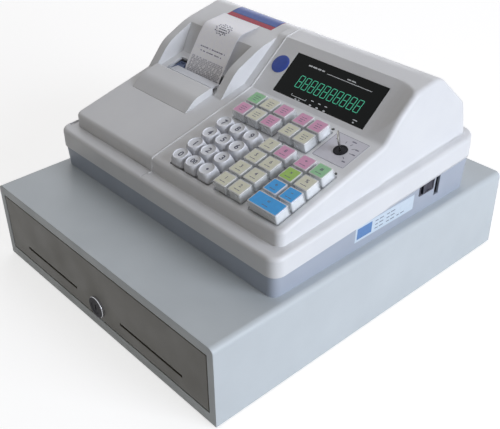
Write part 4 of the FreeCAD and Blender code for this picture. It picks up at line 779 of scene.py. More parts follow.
class Sculpt:
    """Gathers the faces of one piece, each with the number of its finish."""

    def __init__(self) -> None:
        """Start with no faces."""
        self.points: list[Vector] = []
        self.faces: list[tuple[int, ...]] = []
        self.tones: list[int] = []

    def face(self, corners: Iterable[int], tone: int) -> None:
        """Add one face."""
        self.faces.append(tuple(corners))
        self.tones.append(tone)

    def loft(self, rings: Sequence[Ring], tone: int = 0, place: Matrix | None = None, base: bool = True,
             lid: bool = True) -> None:
        """Join rings of as many points each, and close the ends.

        Args:
            rings: The rings in order, each counter-clockwise when seen from the last.
            tone: The number of the finish.
            place: Where the shape stands.
            base: Whether the first end is closed.
            lid: Whether the last end is closed.
        """
        place = place or Matrix.Identity(4)
        first, count = len(self.points), len(rings[0])
        self.points += [place @ point for ring in rings for point in ring]
        for band in range(len(rings) - 1):
            low, high = first + band * count, first + (band + 1) * count
            for index in range(count):
                after = (index + 1) % count
                self.face((low + index, low + after, high + after, high + index), tone)
        if base:
            self.face((first + index for index in reversed(range(count))), tone)
        if lid:
            self.face((first + (len(rings) - 1) * count + index for index in range(count)), tone)

    def block(self, half: tuple[float, float], low: float, high: float, tone: int, place: Matrix,
              radius: float) -> None:
        """Add a plain block with rounded upright corners.

        Args:
            half: Half its width and depth.
            low: Height of its foot.
            high: Height of its top.
            tone: The number of the finish.
            place: Where it stands.
            radius: Radius of its corners.
        """
        self.loft([rounded(half[0], half[1], radius, height, 2) for height in (low, high)], tone, place)

    def mesh(self, source: bpy.types.Mesh, tone: int, place: Matrix,
             fit: Callable[[Vector], Vector] | None = None) -> None:
        """Add a ready mesh and forget it.

        Args:
            source: The mesh.
            tone: The number of the finish.
            place: Where it stands.
            fit: Moves a point before it is placed.
        """
        first = len(self.points)
        for vertex in source.vertices:
            point = vertex.co.copy()
            self.points.append(place @ (fit(point) if fit else point))
        for face in source.polygons:
            self.face((first + index for index in face.vertices), tone)
        bpy.data.meshes.remove(source)

    def sheet(self, rows: int, columns: int, tone: Callable[[int, int], int]) -> None:
        """Join two grids of points, the upper one first, into one thin closed sheet.

        Args:
            rows: How many rows of points each grid has.
            columns: How many points each row has.
            tone: Picks the finish of the cell that starts at a row and a column.
        """
        under = rows * columns
        for row in range(rows - 1):
            for column in range(columns - 1):
                low, high = row * columns + column, (row + 1) * columns + column
                cell = (low, high, high + 1, low + 1)
                self.face(cell, tone(row, column))
                self.face((corner + under for corner in reversed(cell)), tone(row, column))
        edge = list(range(columns)) + [row * columns + columns - 1 for row in range(1, rows)]
        edge += [(rows - 1) * columns + column for column in reversed(range(columns - 1))]
        edge += [row * columns for row in reversed(range(1, rows - 1))]
        for corner, after in zip(edge, edge[1:] + edge[:1]):
            self.face((corner, after, after + under, corner + under), tone(0, 0))

    def build(self, name: str, finishes: Sequence[Finish], angle: float = 32.0) -> bpy.types.Object:
        """Make the object, in metres.

        Args:
            name: Its name.
            finishes: Its finishes, in the order of their numbers.
            angle: The sharpest bend in degrees that is still shaded as a curve.

        Returns:
            The new object.
        """
        mesh = bpy.data.meshes.new(name)
        mesh.from_pydata([point * MM for point in self.points], [], self.faces)
        for finish in finishes:
            mesh.materials.append(finish.build())
        mesh.polygons.foreach_set("material_index", self.tones)
        mesh.polygons.foreach_set("use_smooth", [True] * len(self.faces))
        mesh.validate()
        mesh.set_sharp_from_angle(angle=math.radians(angle))
        mesh.update()
        return add_object(name, mesh)


def settle(item: bpy.types.Object, body: str, nodes: Iterable[str] = ()) -> None:
    """Let a finished piece ride on its body, and hide the nodes that it stands for.

    Args:
        item: The piece.
        body: The body that carries it.
        nodes: The nodes that it replaces.
    """
    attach(item, body)
    for node in nodes:
        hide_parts(node)
    LOG.info("%s rides on %s", item.name, body)


@dataclass(frozen=True)
class Slope:
    """A sloping flat of the case: where its own origin is and how steep it stands."""

    front: float
    height: float
    angle: float

    def place(self, across: float, rise: float, lift: float = 0.0) -> Matrix:
        """Where something stands on the slope.

        Args:
            across: Its place along X.
            rise: How far up the slope it is.
            lift: How far it stands off the slope.

        Returns:
            The matrix that puts it there.
        """
        start = Matrix.Translation((across, self.front, self.height))
        tilt = Matrix.Rotation(math.radians(self.angle), 4, "X")
        return start @ tilt @ Matrix.Translation((0, rise, lift))


# The keyboard's deck starts at the case's front edge, and the display's face where the deck ends.
DECK = Slope(-116.0, 145.9, 14.05)
FACE = Slope(24.5, 145.9 + 140.5 * math.tan(math.radians(14.05)), 39.0)


class Target:
    """A node that other pieces are laid on."""

    def __init__(self, node: str) -> None:
        """Get the node's surface ready."""
        self.node = node
        self.tree = BVHTree.FromObject(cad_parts[node], bpy.context.evaluated_depsgraph_get())

    def land(self, start: Vector, aim: Vector) -> tuple[Vector, Vector]:
        """Drop a point on the node.

        Args:
            start: Where it starts, in millimetres.
            aim: The direction in which it drops.

        Returns:
            Where it lands, in millimetres, and the surface's normal there, turned back to the start.
        """
        hit, normal, _, _ = self.tree.ray_cast(start * MM, aim)
        if hit is None:
            raise RuntimeError("a point misses " + self.node)
        return hit / MM, -normal if normal.dot(aim) > 0 else normal


def facing(spot: Vector, normal: Vector) -> Matrix:
    """Where something stands that looks along a normal."""
    return Matrix.Translation(spot) @ normal.to_track_quat("Z", "Y").to_matrix().to_4x4()


@dataclass
class Film:
    """A thin film laid on a node, shaped by the surface under it."""

    name: str
    node: str
    body: str
    slot: str
    finishes: Sequence[Finish]
    wall: float = 0.15
    crown: float = 0.0
    taper: float = 1.0

    def lay(self, start: Callable[[float, float], Vector], aim: Vector, firsts: Sequence[float],
            seconds: Sequence[float], tone: Callable[[float, float], int]) -> None:
        """Drop a grid of points on the node and make the film from where they land.

        Args:
            start: Gives the point above the surface for two places of the grid.
            aim: The direction in which the points drop.
            firsts: The grid's places one way.
            seconds: Its places the other way.
            tone: Picks the finish for the middle of a cell.
        """
        target = Target(self.node)
        shape = Sculpt()
        for side in (1, 0):
            for first in firsts:
                share = 2 * (first - firsts[0]) / (firsts[-1] - firsts[0]) - 1
                for second in seconds:
                    done = (second - seconds[0]) / (seconds[-1] - seconds[0])
                    crown = self.crown * (1 - share ** 2) * (1 + (self.taper - 1) * done)
                    height = self.wall + crown if side else -self.wall / 3
                    spot, normal = target.land(start(first, second), aim)
                    shape.points.append(spot + normal * height)

        def cell_tone(row: int, column: int) -> int:
            """The finish at the middle of a cell."""
            return tone((firsts[row] + firsts[row + 1]) / 2, (seconds[column] + seconds[column + 1]) / 2)

        shape.sheet(len(firsts), len(seconds), cell_tone)
        settle(shape.build(self.name, self.finishes), self.body)


# The register's parts

class Shells:
    """The nodes that keep their own shape and take a finish."""

    def finishes(self) -> dict[str, Finish]:
        """Which finish each kept node has."""
        return {
            # The drawer's front takes the coat with painted shade.
            "drawer_case": DRAWER_COAT, "drawer_front": FRONT_COAT_PAINTED_SHADE, "rubber_feet": RUBBER,
            "case_rails": ZINC, "drawer_box": ZINC, "drawer_latch": ZINC, "cash_tray": TRAY_STYRENE,
            "bill_clips": TRAY_STYRENE, "lock_barrel": FACED_RING, "lock_plug": DARK_PLUG_PAINTED_REFLECTION,
            "latch_solenoid": BLACK_NYLON, "base_shell": GREY_ABS, "upper_case": HOOD_ABS,
            "printer_cover": PALE_ABS, "tear_cover": PALE_ABS, "printer_frame": PRINTER_NYLON,
            "platen_roller": RUBBER, "paper_roll": ROLL_PAPER, "circuit_boards": BOARD,
            "power_switch": SWITCH_NYLON,
        }

    def build(self) -> None:
        """Give every kept node its finish."""
        for name, finish in self.finishes().items():
            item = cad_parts[name]
            item.data.materials.clear()
            item.data.materials.append(finish.build())
            item.data.polygons.foreach_set("material_index", [0] * len(item.data.polygons))
            LOG.info("%s keeps its shape", name)


@dataclass
class Key:
    """What every key has: its node, its sign, its place on the deck and how high it stands."""

    node: str
    sign: str
    across: float
    rise: float
    foot: float = -0.3
    height: float = 10.0
    stem_half: float = 3.5
    stem_foot: float = -8.7
    stem_top: float = -0.2

    def place(self) -> Matrix:
        """Where the key stands."""
        return DECK.place(self.across, self.rise)

    def stem(self, shape: Sculpt) -> None:
        """Add the square stem that slides in the key's guide."""
        half = (self.stem_half, self.stem_half)
        shape.block(half, self.stem_foot, self.stem_top, 0, self.place(), 0.4)


@dataclass
class NumberKey(Key):
    """A white cap with a square foot that draws in to a round dished top."""

    dish_edge: float = 6.9
    dish_radius: float = 34.0
    dish_depth: float = 1.4
    ink: float = 0.08

    def dish(self, radius: float) -> float:
        """Height of the dished top at a distance from its middle."""
        low = self.height - self.dish_depth
        return low + self.dish_radius - math.sqrt(self.dish_radius ** 2 - radius ** 2)

    def build(self) -> None:
        """Make the cap and print its sign in the dish."""
        rings = []
        for share, power, half in ((0.0, 6.0, 8.7), (0.1, 5.8, 8.66), (0.3, 5.4, 8.5), (0.5, 4.8, 8.33),
                                   (0.66, 4.1, 8.18), (0.78, 3.4, 8.02), (0.87, 2.8, 7.9), (0.93, 2.4, 7.8),
                                   (0.97, 2.15, 7.7), (0.99, 2.05, 7.58), (1.0, 2.0, 7.4)):
            rings.append(superellipse(half, half, power, self.foot + share * (self.height - self.foot)))
        rings += turned([(self.dish_edge + 0.1, self.height - 0.12)])
        radii = (self.dish_edge - 0.15, 6.0, 5.0, 3.8, 2.6, 1.4, 0.4)
        rings += turned((radius, self.dish(radius)) for radius in radii)
        shape = Sculpt()
        shape.loft(rings, 0, self.place())
        self.stem(shape)
        signs = word_mesh(self.sign, 9.2 if len(self.sign) == 1 else 7.4, 0.2)
        shape.mesh(signs, 1, self.place(),
                   lambda point: Vector((point.x, point.y, self.dish(point.xy.length) + self.ink)))
        settle(shape.build(self.node + "_cap", (KEY_ABS, DARK_INK), 40.0), self.node,
               [self.node])


@dataclass
class ClearKey(Key):
    """A clear cap over a coloured card on a white core."""

    colour: CapColour = CapColour.CREAM
    half_x: float = 8.9
    half_y: float = 8.9
    margin: float = 1.75
    card_foot: float = 8.6
    card_top: float = 9.88
    ink: float = 0.06
    draft: float = math.tan(math.radians(3.5))

    def ring(self, inset: float, radius: float, height: float) -> Ring:
        """A ring that lies within the cap's outline by an inset."""
        return rounded(self.half_x - inset, self.half_y - inset, radius, height, 4)

    def build(self) -> None:
        """Make the core, the card with its sign and the clear skin over both."""
        place = self.place()
        shape = Sculpt()
        core = [self.ring(inset, 1.1, height)
                for height, inset in ((self.foot, 1.3), (8.2, 1.6), (self.card_foot, 1.9))]
        shape.loft(core, 0, place)
        self.stem(shape)
        card = [self.ring(self.margin, 0.9, height) for height in (self.card_foot, self.card_top)]
        shape.loft(card, 1, place)
        skin = [self.ring((height - self.foot) * self.draft + extra, corner, height)
                for height, extra, corner in ((self.foot, 0.0, 1.5), (1.0, 0.0, 1.5), (9.2, 0.0, 1.5),
                                              (9.6, 0.1, 1.4), (9.88, 0.3, 1.2), (self.height, 0.6, 1.0))]
        skin.append(self.ring(self.margin + 0.1, 0.8, self.card_top + 0.04))
        shape.loft(skin[:4], 2, place, lid=False)
        # The top rim takes the styrene with the painted highlight.
        shape.loft(skin[3:], 4, place, base=False, lid=False)
        level = self.card_top + self.ink
        if self.sign:
            dashes = ((-3.7, -1.7, 1.5), (-3.7, 2.0, 1.7))
            shape.mesh(word_mesh(self.sign, 5.4, 0.08), 3, place @ Matrix.Translation((0, 1.6, level)))
        else:
            dashes = ((2.2, -1.8, 1.3), (2.2, 1.9, 1.7), (-0.6, -0.9, 1.9), (-0.6, 2.6, 1.0),
                      (-3.4, 0.0, 2.3))
        for rise, across, half in dashes:
            spot = place @ Matrix.Translation((across, rise, 0))
            shape.block((half, 0.3), self.card_top - 0.1, level, 3, spot, 0.15)
        finishes = (CORE_ABS, self.colour.card(), CLEAR_SIDE, LEGEND_INK, CLEAR_RIM_PAINTED_HIGHLIGHT)
        settle(shape.build(self.node + "_cap", finishes, 40.0), self.node,
               [self.node])


@dataclass
class Keyboard:
    """All thirty-seven keys on the deck."""

    pitch: float = 19.4
    row_pitch: float = 18.9
    first_row: float = 24.3
    top_row: float = 106.6
    number_x: float = 8.4
    middle_x: float = 72.6
    right_x: float = 117.9

    def clear(self, node: str, sign: str, across: float, rise: float, colour: CapColour) -> None:
        """Make one clear key of a single width."""
        ClearKey(node, sign, across, rise, colour=colour).build()

    def build(self) -> None:
        """Make the number block, the two blocks beside it and the two function rows behind."""
        cream, pink, green, lime, blue = CapColour
        for row, names in enumerate((("0", "00", "point"), "123", "456", "789")):
            rise = self.first_row + row * self.row_pitch
            for column, name in enumerate(names):
                sign = "•" if name == "point" else name
                NumberKey("key_" + name, sign, self.number_x + column * self.pitch, rise).build()
            for column in (0, 1):
                number = 2 * row + column + 1
                across = self.middle_x + column * self.pitch
                colour = pink if number == 8 else cream
                self.clear("department_key_%d" % number, str(number), across, rise, colour)
        signs = (("+", blue), ("−", blue), ("×", lime), ("%", cream), ("÷", pink), ("#", green))
        for number, (sign, colour) in enumerate(signs):
            row, column = divmod(number, 2)
            rise = self.first_row + (row + 1) * self.row_pitch
            across = self.right_x + column * self.pitch
            self.clear("tender_key_%d" % (number + 1), sign, across, rise, colour)
        ClearKey("total_key", "=", self.right_x + self.pitch / 2, self.first_row, colour=blue,
                 half_x=8.9 + self.pitch / 2).build()
        colours = (pink, cream, pink, cream, cream, green, cream, pink, pink, pink)
        for number, colour in enumerate(colours):
            row, column = divmod(number, 5)
            left, column = (self.number_x, column) if column < 3 else (self.middle_x, column - 3)
            self.clear("function_key_%d" % (number + 1), "", left + column * self.pitch,
                       self.top_row + row * self.row_pitch, colour)


@dataclass
class Display:
    """The dark window with its lit digits and its white print, and the round badge beside it."""

    across: float = 64.0
    rise: float = 29.6
    half_x: float = 60.0
    half_y: float = 23.5
    digit_left: float = 25.6
    digit_low: float = 18.6
    digit_pitch: float = 8.52
    digit_width: float = 5.6
    digit_height: float = 13.4
    digits: int = 10
    lean: float = 0.04
    gap: float = 0.25
    bar: float = 0.66
    level: float = -0.2

    def pane(self) -> None:
        """Make the pane: a dark slab whose edge is eased all round."""
        shape = Sculpt()
        slab = [rounded(self.half_x - inset, self.half_y - inset, 0.8 - inset * 2 / 3, height, 3)
                for inset, height in ((0.0, -2.0), (0.0, -0.35), (0.15, self.level))]
        shape.loft(slab, 0, FACE.place(self.across, self.rise))
        settle(shape.build("display_pane", (SMOKED_PANE,)), "case", ["display_window"])

    def bar_ring(self, length: float, height: float) -> Ring:
        """One bar of a digit, pointed at both ends.

        Args:
            length: The bar's length.
            height: Its height over the face.

        Returns:
            The bar's ring.
        """
        half, wide = length / 2, self.bar / 2
        corners = ((half, 0), (half - wide, wide), (wide - half, wide), (-half, 0), (wide - half, -wide),
                   (half - wide, -wide))
        return [Vector((x, y, height)) for x, y in corners]

    def lights(self) -> None:
        """Light all seven bars of every digit, so that the display shows eights and no reading."""
        shape = Sculpt()
        half_x, half_y = self.digit_width / 2, self.digit_height / 2
        bars = [(0, 0, 0), (0, half_y, 0), (0, -half_y, 0)]
        bars += [(side * half_x, end * half_y / 2, 90) for side in (-1, 1) for end in (-1, 1)]
        lean = Matrix.Identity(4)
        lean[0][1] = self.lean
        for number in range(self.digits):
            x = self.digit_left + half_x + number * self.digit_pitch
            middle = FACE.place(x, self.digit_low + half_y) @ lean
            for across, rise, turn in bars:
                length = (half_y if turn else self.digit_width) - self.gap
                rings = [self.bar_ring(length, height) for height in (self.level, self.level + 0.1)]
                shape.loft(rings, 0, middle @ Matrix.Translation((across, rise, 0)) @ turn_z(turn))
        settle(shape.build("display_digits", (PHOSPHOR,)), "case")

    def marks(self) -> None:
        """Print thin white lines and small blank marks where the real window has words."""
        shape = Sculpt()
        marks = [(79.8, 43.4, 28.8, 0.3), (38.2, 9.2, 9.6, 0.3), (28.6, 10.2, 0.3, 1.0),
                 (47.8, 10.2, 0.3, 1.0), (36.0, 7.0, 1.2, 0.5), (40.4, 7.0, 1.2, 0.5),
                 (111.0, 11.4, 2.6, 0.45), (110.4, 8.7, 1.0, 0.7)]
        marks += [(x, 44.6, half, 0.75) for x, half in ((28.0, 2.6), (34.2, 2.9), (40.2, 2.3), (45.4, 1.9))]
        marks += [(x, 46.0, half, 0.6) for x, half in ((78.2, 2.4), (84.0, 2.6))]
        marks += [(x, 12.0, 1.6, 0.5) for x in (55.4, 64.7, 73.4)]
        marks += [(x, 7.2, 1.5, 0.75) for x in (55.8, 64.8, 74.0)]
        for x, rise, half_x, half_y in marks:
            shape.block((half_x, half_y), self.level, self.level + 0.08, 0, FACE.place(x, rise),
                        min(half_x, half_y) * 0.6)
        settle(shape.build("display_print", (WHITE_INK,)), "case")

    def badge(self) -> None:
        """Lay a plain disc under a low dome of resin beside the window."""
        shape = Sculpt()
        shape.loft(turned(((10.3, -0.15), (10.3, 0.25), (10.15, 0.42), (9.6, 0.6), (8.6, 0.78), (7.0, 0.94),
                           (4.8, 1.07), (2.4, 1.14), (0.5, 1.16)), 72), 0, FACE.place(-7.2, 34.6))
        settle(shape.build("hood_badge", (BADGE_RESIN,)), "case")

    def build(self) -> None:
        """Make the pane, what shows in it and the badge."""
        self.pane()
        self.lights()
        self.marks()
        self.badge()


@dataclass
class ModeLock:
    """The lock beside the keys: a film with blank marks round it, the black plug and the key in it."""

    across: float = 124.5
    rise: float = 119.1
    radius: float = 6.9
    drop: float = 11.0
    proud: float = 1.0
    key_wall: float = 1.3
    angle: float = 130.0
    bow_middle: float = 14.6
    bow_radius: float = 6.2
    hole_radius: float = 1.9
    film_left: float = 105.2
    film_right: float = 143.4
    film_low: float = 101.2
    film_high: float = 138.6
    corner: float = 1.2

    def film(self) -> None:
        """Lay the square film, with a hole for the plug and a printed line round its edge."""
        middle_x, middle_y = (self.film_left + self.film_right) / 2, (self.film_low + self.film_high) / 2
        half_x, half_y = (self.film_right - self.film_left) / 2, (self.film_high - self.film_low) / 2
        rim = superellipse(self.radius + 0.4, self.radius + 0.4, 2.0, 0.0, 64)
        hole = outline(rim, self.across - middle_x, self.rise - middle_y)
        sheet, outer, inner = (outline(rounded(half_x - inset, half_y - inset, self.corner - inset, 0.0))
                               for inset in (0.0, 0.2, 0.55))
        shape = Sculpt()
        shape.mesh(plate_mesh([sheet, hole], 0.16), 0, DECK.place(middle_x, middle_y, 0.06))
        shape.mesh(plate_mesh([outer, inner], 0.04), 1, DECK.place(middle_x, middle_y, 0.16))
        settle(shape.build("mode_film", (PLATE_FILM, GREY_INK)), "case")

    def marks(self) -> None:
        """Print blank marks round the lock."""
        shape = Sculpt()
        for angle in (-35, 5, 38, 70, 104, 138):
            turn = math.radians(angle)
            x, y = self.across + 11.6 * math.cos(turn), self.rise + 11.6 * math.sin(turn)
            shape.block((1.5, 0.36), 0.0, 0.07, 0, DECK.place(x, y, 0.12) @ turn_z(angle), 0.2)
        for x, y, half in ((137.6, 127.0, 2.2), (139.0, 120.4, 1.8), (128.4, 134.4, 2.6),
                           (111.6, 130.0, 2.0), (137.4, 108.6, 1.9)):
            shape.block((half, 0.7), 0.0, 0.07, 0, DECK.place(x, y, 0.12), 0.3)
        settle(shape.build("mode_marks", (GREY_INK,)), "case")

    def bow(self) -> list[list[tuple[float, float]]]:
        """The key's outline: a shank, a round bow and the hole in it.

        Returns:
            The outline and the hole.
        """
        middle = self.bow_middle
        left = [(-3.0, -0.5), (-3.0, 7.0), (-3.6, 8.0)]
        arc = [(self.bow_radius * math.cos(turn), middle + self.bow_radius * math.sin(turn))
               for turn in (math.radians(232 - index * 284 / 24) for index in range(25))]
        hole = [(self.hole_radius * math.cos(turn), middle + 2.2 + self.hole_radius * math.sin(turn))
                for turn in (math.radians(15 * index) for index in range(24))]
        return [left + arc + [(-x, y) for x, y in reversed(left)], hole]

    def key(self) -> None:
        """Make the plug and the key standing in it."""
        shape = Sculpt()
        place = DECK.place(self.across, self.rise)
        steps = ((0.0, -self.drop), (0.0, self.proud - 0.5), (0.2, self.proud - 0.12), (0.6, self.proud),
                 (1.6, self.proud), (1.9, self.proud - 0.35))
        shape.loft(turned(((self.radius - inset, height) for inset, height in steps), 64), 0, place)
        upright = turn_z(self.angle) @ Matrix.Rotation(math.radians(90), 4, "X")
        shape.mesh(plate_mesh(self.bow(), self.key_wall, 0.3), 1, place @ upright)
        settle(shape.build("mode_lock_key", (DARK_PLUG_PAINTED_REFLECTION, NICKEL)), "mode_key", ["mode_key"])

    def build(self) -> None:
        """Make the film, its marks and the key."""
        self.film()
        self.marks()
        self.key()


class Ticket:
    """The printed strip that leaves the mouth and lies back over the hood."""

    LEFT = -122.0
    WIDTH = 57.5
    WALL = 0.12
    CURL = 0.5
    INK = 0.06
    COLUMNS = 40
    TORN = 0.9
    SEED = 12
    RING_DASHES = 22
    RING_START = 68.0
    RING_SQUASH = 0.72
    POSTS = ((14.6, 160.2), (14.6, 168.5), (16.8, 175.6), (24.6, 186.6), (34.0, 200.0), (42.0, 211.6),
             (48.0, 217.4), (56.0, 218.6), (66.0, 219.3), (76.0, 220.6))

    def __init__(self) -> None:
        """Work out the strip's course: its points, where its printed side faces and the length so far."""
        self.line = self.course()
        self.faces: list[Vector] = []
        self.lengths: list[float] = []
        total = 0.0
        for index, point in enumerate(self.line):
            before, after = self.line[max(index - 1, 0)], self.line[min(index + 1, len(self.line) - 1)]
            way = (after - before).normalized()
            self.faces.append(Vector((0, -way.z, way.y)))
            total += (point - self.line[index - 1]).length if index else 0.0
            self.lengths.append(total)

    def course(self) -> list[Vector]:
        """The strip's own line from inside the mouth to its torn end, as a smooth curve.

        Returns:
            The line's points.
        """
        curve = bpy.data.curves.new("ticket_line", "CURVE")
        curve.dimensions = "3D"
        spline = curve.splines.new("NURBS")
        spline.points.add(len(self.POSTS) - 1)
        for point, (y, z) in zip(spline.points, self.POSTS):
            point.co = (0.0, y, z, 1.0)
        spline.use_endpoint_u = True
        spline.order_u = 3
        curve.resolution_u = 8
        mesh = curve_mesh(curve)
        line = [vertex.co.copy() for vertex in mesh.vertices]
        bpy.data.meshes.remove(mesh)
        return line

    def cup(self, share: float, index: int) -> float:
        """How far the strip's edges stand up at a share of its width and a point of its line."""
        return self.CURL * (2 * share - 1) ** 2 * min(1.0, index / len(self.line) * 2)

    def sheet(self) -> None:
        """Make the strip, cupped a little across and torn along its far end."""
        shape = Sculpt()
        for side in (1, 0):
            for column in range(self.COLUMNS + 1):
                share = column / self.COLUMNS
                across = Vector((self.LEFT + self.WIDTH * share, 0, 0))
                for index, (point, face) in enumerate(zip(self.line, self.faces)):
                    spot = point + across + face * (self.cup(share, index) + side * self.WALL)
                    if index == len(self.line) - 1:
                        spot.y += self.TORN * (column % 2) - self.TORN
                    shape.points.append(spot)
        shape.sheet(self.COLUMNS + 1, len(self.line), lambda row, column: 0)
        settle(shape.build("ticket_strip", (PAPER,), 60.0), "cover", ["receipt_paper"])

    def dash(self, shape: Sculpt, start: float, middle: float, half: float, tall: float, tone: int) -> None:
        """Print one dash on the strip.

        Args:
            shape: What it is added to.
            start: How far along the strip it lies.
            middle: Its middle across the strip.
            half: Half its width.
            tall: Its height along the strip.
            tone: The number of the ink.
        """
        first = len(shape.points)
        for length, ends in ((start, (-half, half)), (start + tall, (half, -half))):
            index = next(number for number, value in enumerate(self.lengths) if value >= length)
            share = (length - self.lengths[index - 1]) / (self.lengths[index] - self.lengths[index - 1])
            point = self.line[index - 1].lerp(self.line[index], share)
            face = self.faces[index - 1].lerp(self.faces[index], share)
            for end in ends:
                lift = self.cup((middle + end - self.LEFT) / self.WIDTH, index) + self.WALL + self.INK
                shape.points.append(point + Vector((middle + end, 0, 0)) + face * lift)
        shape.face(range(first, first + 4), tone)

    def printing(self) -> None:
        """Print rows of blank dashes: a close block at the mouth, rows over it and a ringed block above."""
        draw = random.Random(self.SEED)
        shape = Sculpt()
        middle = self.LEFT + self.WIDTH / 2
        rows = [(12.4 + 1.7 * row, 25.5, 1.25, 1) for row in range(11)]
        rows += [(37.6, 17.0, 1.1, 2), (42.2, 19.5, 1.1, 2)]
        rows += [(63.6 + 3.0 * row, 6.6 - 1.6 * abs(row - 1.5), 1.3, 0) for row in range(4)]
        for start, reach, tall, tone in rows:
            x = middle - reach
            while x < middle + reach:
                half = draw.uniform(0.5, 1.9)
                self.dash(shape, start, x + half, half, tall, tone)
                x += 2 * half + draw.choice((0.5, 0.5, 0.7, 2.4))
        for index in range(self.RING_DASHES):
            turn = 2 * math.pi * index / self.RING_DASHES
            reach = 11.0 if index % 2 else 9.4
            start = self.RING_START + self.RING_SQUASH * reach * math.sin(turn)
            self.dash(shape, start, middle + reach * math.cos(turn), 1.0, 1.2, 0)
        settle(shape.build("ticket_print", (PRINT_INK, FAINT_INK, GREY_INK)), "cover")

    def build(self) -> None:
        """Make the strip and its print."""
        self.sheet()
        self.printing()


class Labels:
    """The plain films on the hood and on the right wall, and the edge beside the seam with its painted
    highlight.
    """

    DOWN = Vector((0, 0, -1))
    ABOVE = 260.0
    DASHES = ((9.0, 13.5), (15.0, 21.0), (25.5, 30.0), (31.5, 37.5), (41.0, 44.5), (46.5, 52.0))

    def hood(self) -> None:
        """Lay the blue film on the hood, with its red band in front."""
        film = Film("hood_film", "printer_cover", "cover", "pale_plastic", (BLUE_FILM, RED_FILM, NAVY_FILM))
        film.lay(lambda x, y: Vector((x + (y - 98.4) * 0.1, y, self.ABOVE)), self.DOWN,
                 [-117.6, -116.8] + even(-114.0, -50.4, 20) + [-47.6, -46.8],
                 [77.2, 80.0, 83.5, 83.6, 84.5] + even(86.0, 96.4, 8) + [97.6, 98.5], self.hood_tone)

    def hood_tone(self, x: float, y: float) -> int:
        """Which colour a cell of the hood's film has.

        Args:
            x: The cell's middle across the film.
            y: Its middle from front to back.

        Returns:
            The number of the finish.
        """
        if y < 83.55:
            return 1
        return 0 if -116.8 < x < -47.6 and 84.5 < y < 97.6 else 2

    def wall(self) -> None:
        """Lay the pale film on the wall, with a blue square and three rows of grey dashes on it."""
        film = Film("wall_film", "base_shell", "case", "grey_plastic", (PALE_FILM, SKY_FILM, DASH_INK))
        places = [-18.5, -16.2] + even(-16.1, 4.4, 6) + [4.5] + [end for dash in self.DASHES for end in dash]
        film.lay(lambda y, z: Vector((200.0, y, z)), Vector((-1, 0, 0)), places + [59.0, 66.0],
                 [99.6, 102.0, 102.1, 103.0, 104.2, 107.3, 108.5, 111.6, 112.8, 114.4, 114.5, 116.6],
                 self.wall_tone)

    def wall_tone(self, y: float, z: float) -> int:
        """Which colour a cell of the wall's film has.

        Args:
            y: The cell's middle along the wall.
            z: Its height.

        Returns:
            The number of the finish.
        """
        if -16.15 < y < 4.45 and 102.05 < z < 114.45:
            return 1
        for low, high, count in ((103.0, 104.2, 6), (107.3, 108.5, 4), (111.6, 112.8, 4)):
            if low < z < high and any(start < y < end for start, end in self.DASHES[:count]):
                return 2
        return 0

    def bead(self) -> None:
        """Run the case's round edge along the seam with the printer's cover, lighter as a painted highlight
        where it catches the light.
        """
        film = Film("seam_bead", "upper_case", "case", "pale_plastic", (BEAD_ABS_PAINTED_HIGHLIGHT,), 0.1, 0.85, 0.3)
        film.lay(lambda x, y: Vector((x, y, self.ABOVE)), self.DOWN, even(-23.2, -21.2, 6),
                 even(-113.0, 149.0, 120), lambda x, y: 0)

    def build(self) -> None:
        """Lay both films and the bead."""
        self.hood()
        self.wall()
        self.bead()


@dataclass
class Mouth:
    """What shows in the mouth: the toothed bar that tears the ticket and the guide beside the strip."""

    left: float = -121.0
    right: float = -50.5
    teeth: int = 44

    def bar(self) -> None:
        """Lay the tear bar behind the cover's ridge, with teeth along its rear edge."""
        loop = [(self.left, -5.9), (self.right, -5.9)]
        loop += [(x, 5.6 if index % 2 else 4.6)
                 for index, x in enumerate(even(self.right, self.left, 2 * self.teeth))]
        shape = Sculpt()
        shape.mesh(plate_mesh([loop], 0.7), 0, Matrix.Translation((0, 0, 179.6)))
        settle(shape.build("tear_bar", (TEAR_BAR,)), "cover")

    def guide(self) -> None:
        """Fill the throat's left end with the guide that keeps the strip in line."""
        shape = Sculpt()
        rings = [rounded(5.7 - inset, 12.6 - inset, 0.8, height, 3)
                 for inset, height in ((0.0, -9.0), (0.0, -3.6), (0.4, -3.2))]
        rings += [rounded(4.0, 10.8, 0.6, -3.2, 3), rounded(3.8, 10.6, 0.6, -4.6, 3)]
        shape.loft(rings, 0, DECK.place(-129.0, 127.6))
        settle(shape.build("strip_guide", (PRINTER_NYLON,)), "cover")

    def build(self) -> None:
        """Make the bar and the guide."""
        self.bar()
        self.guide()


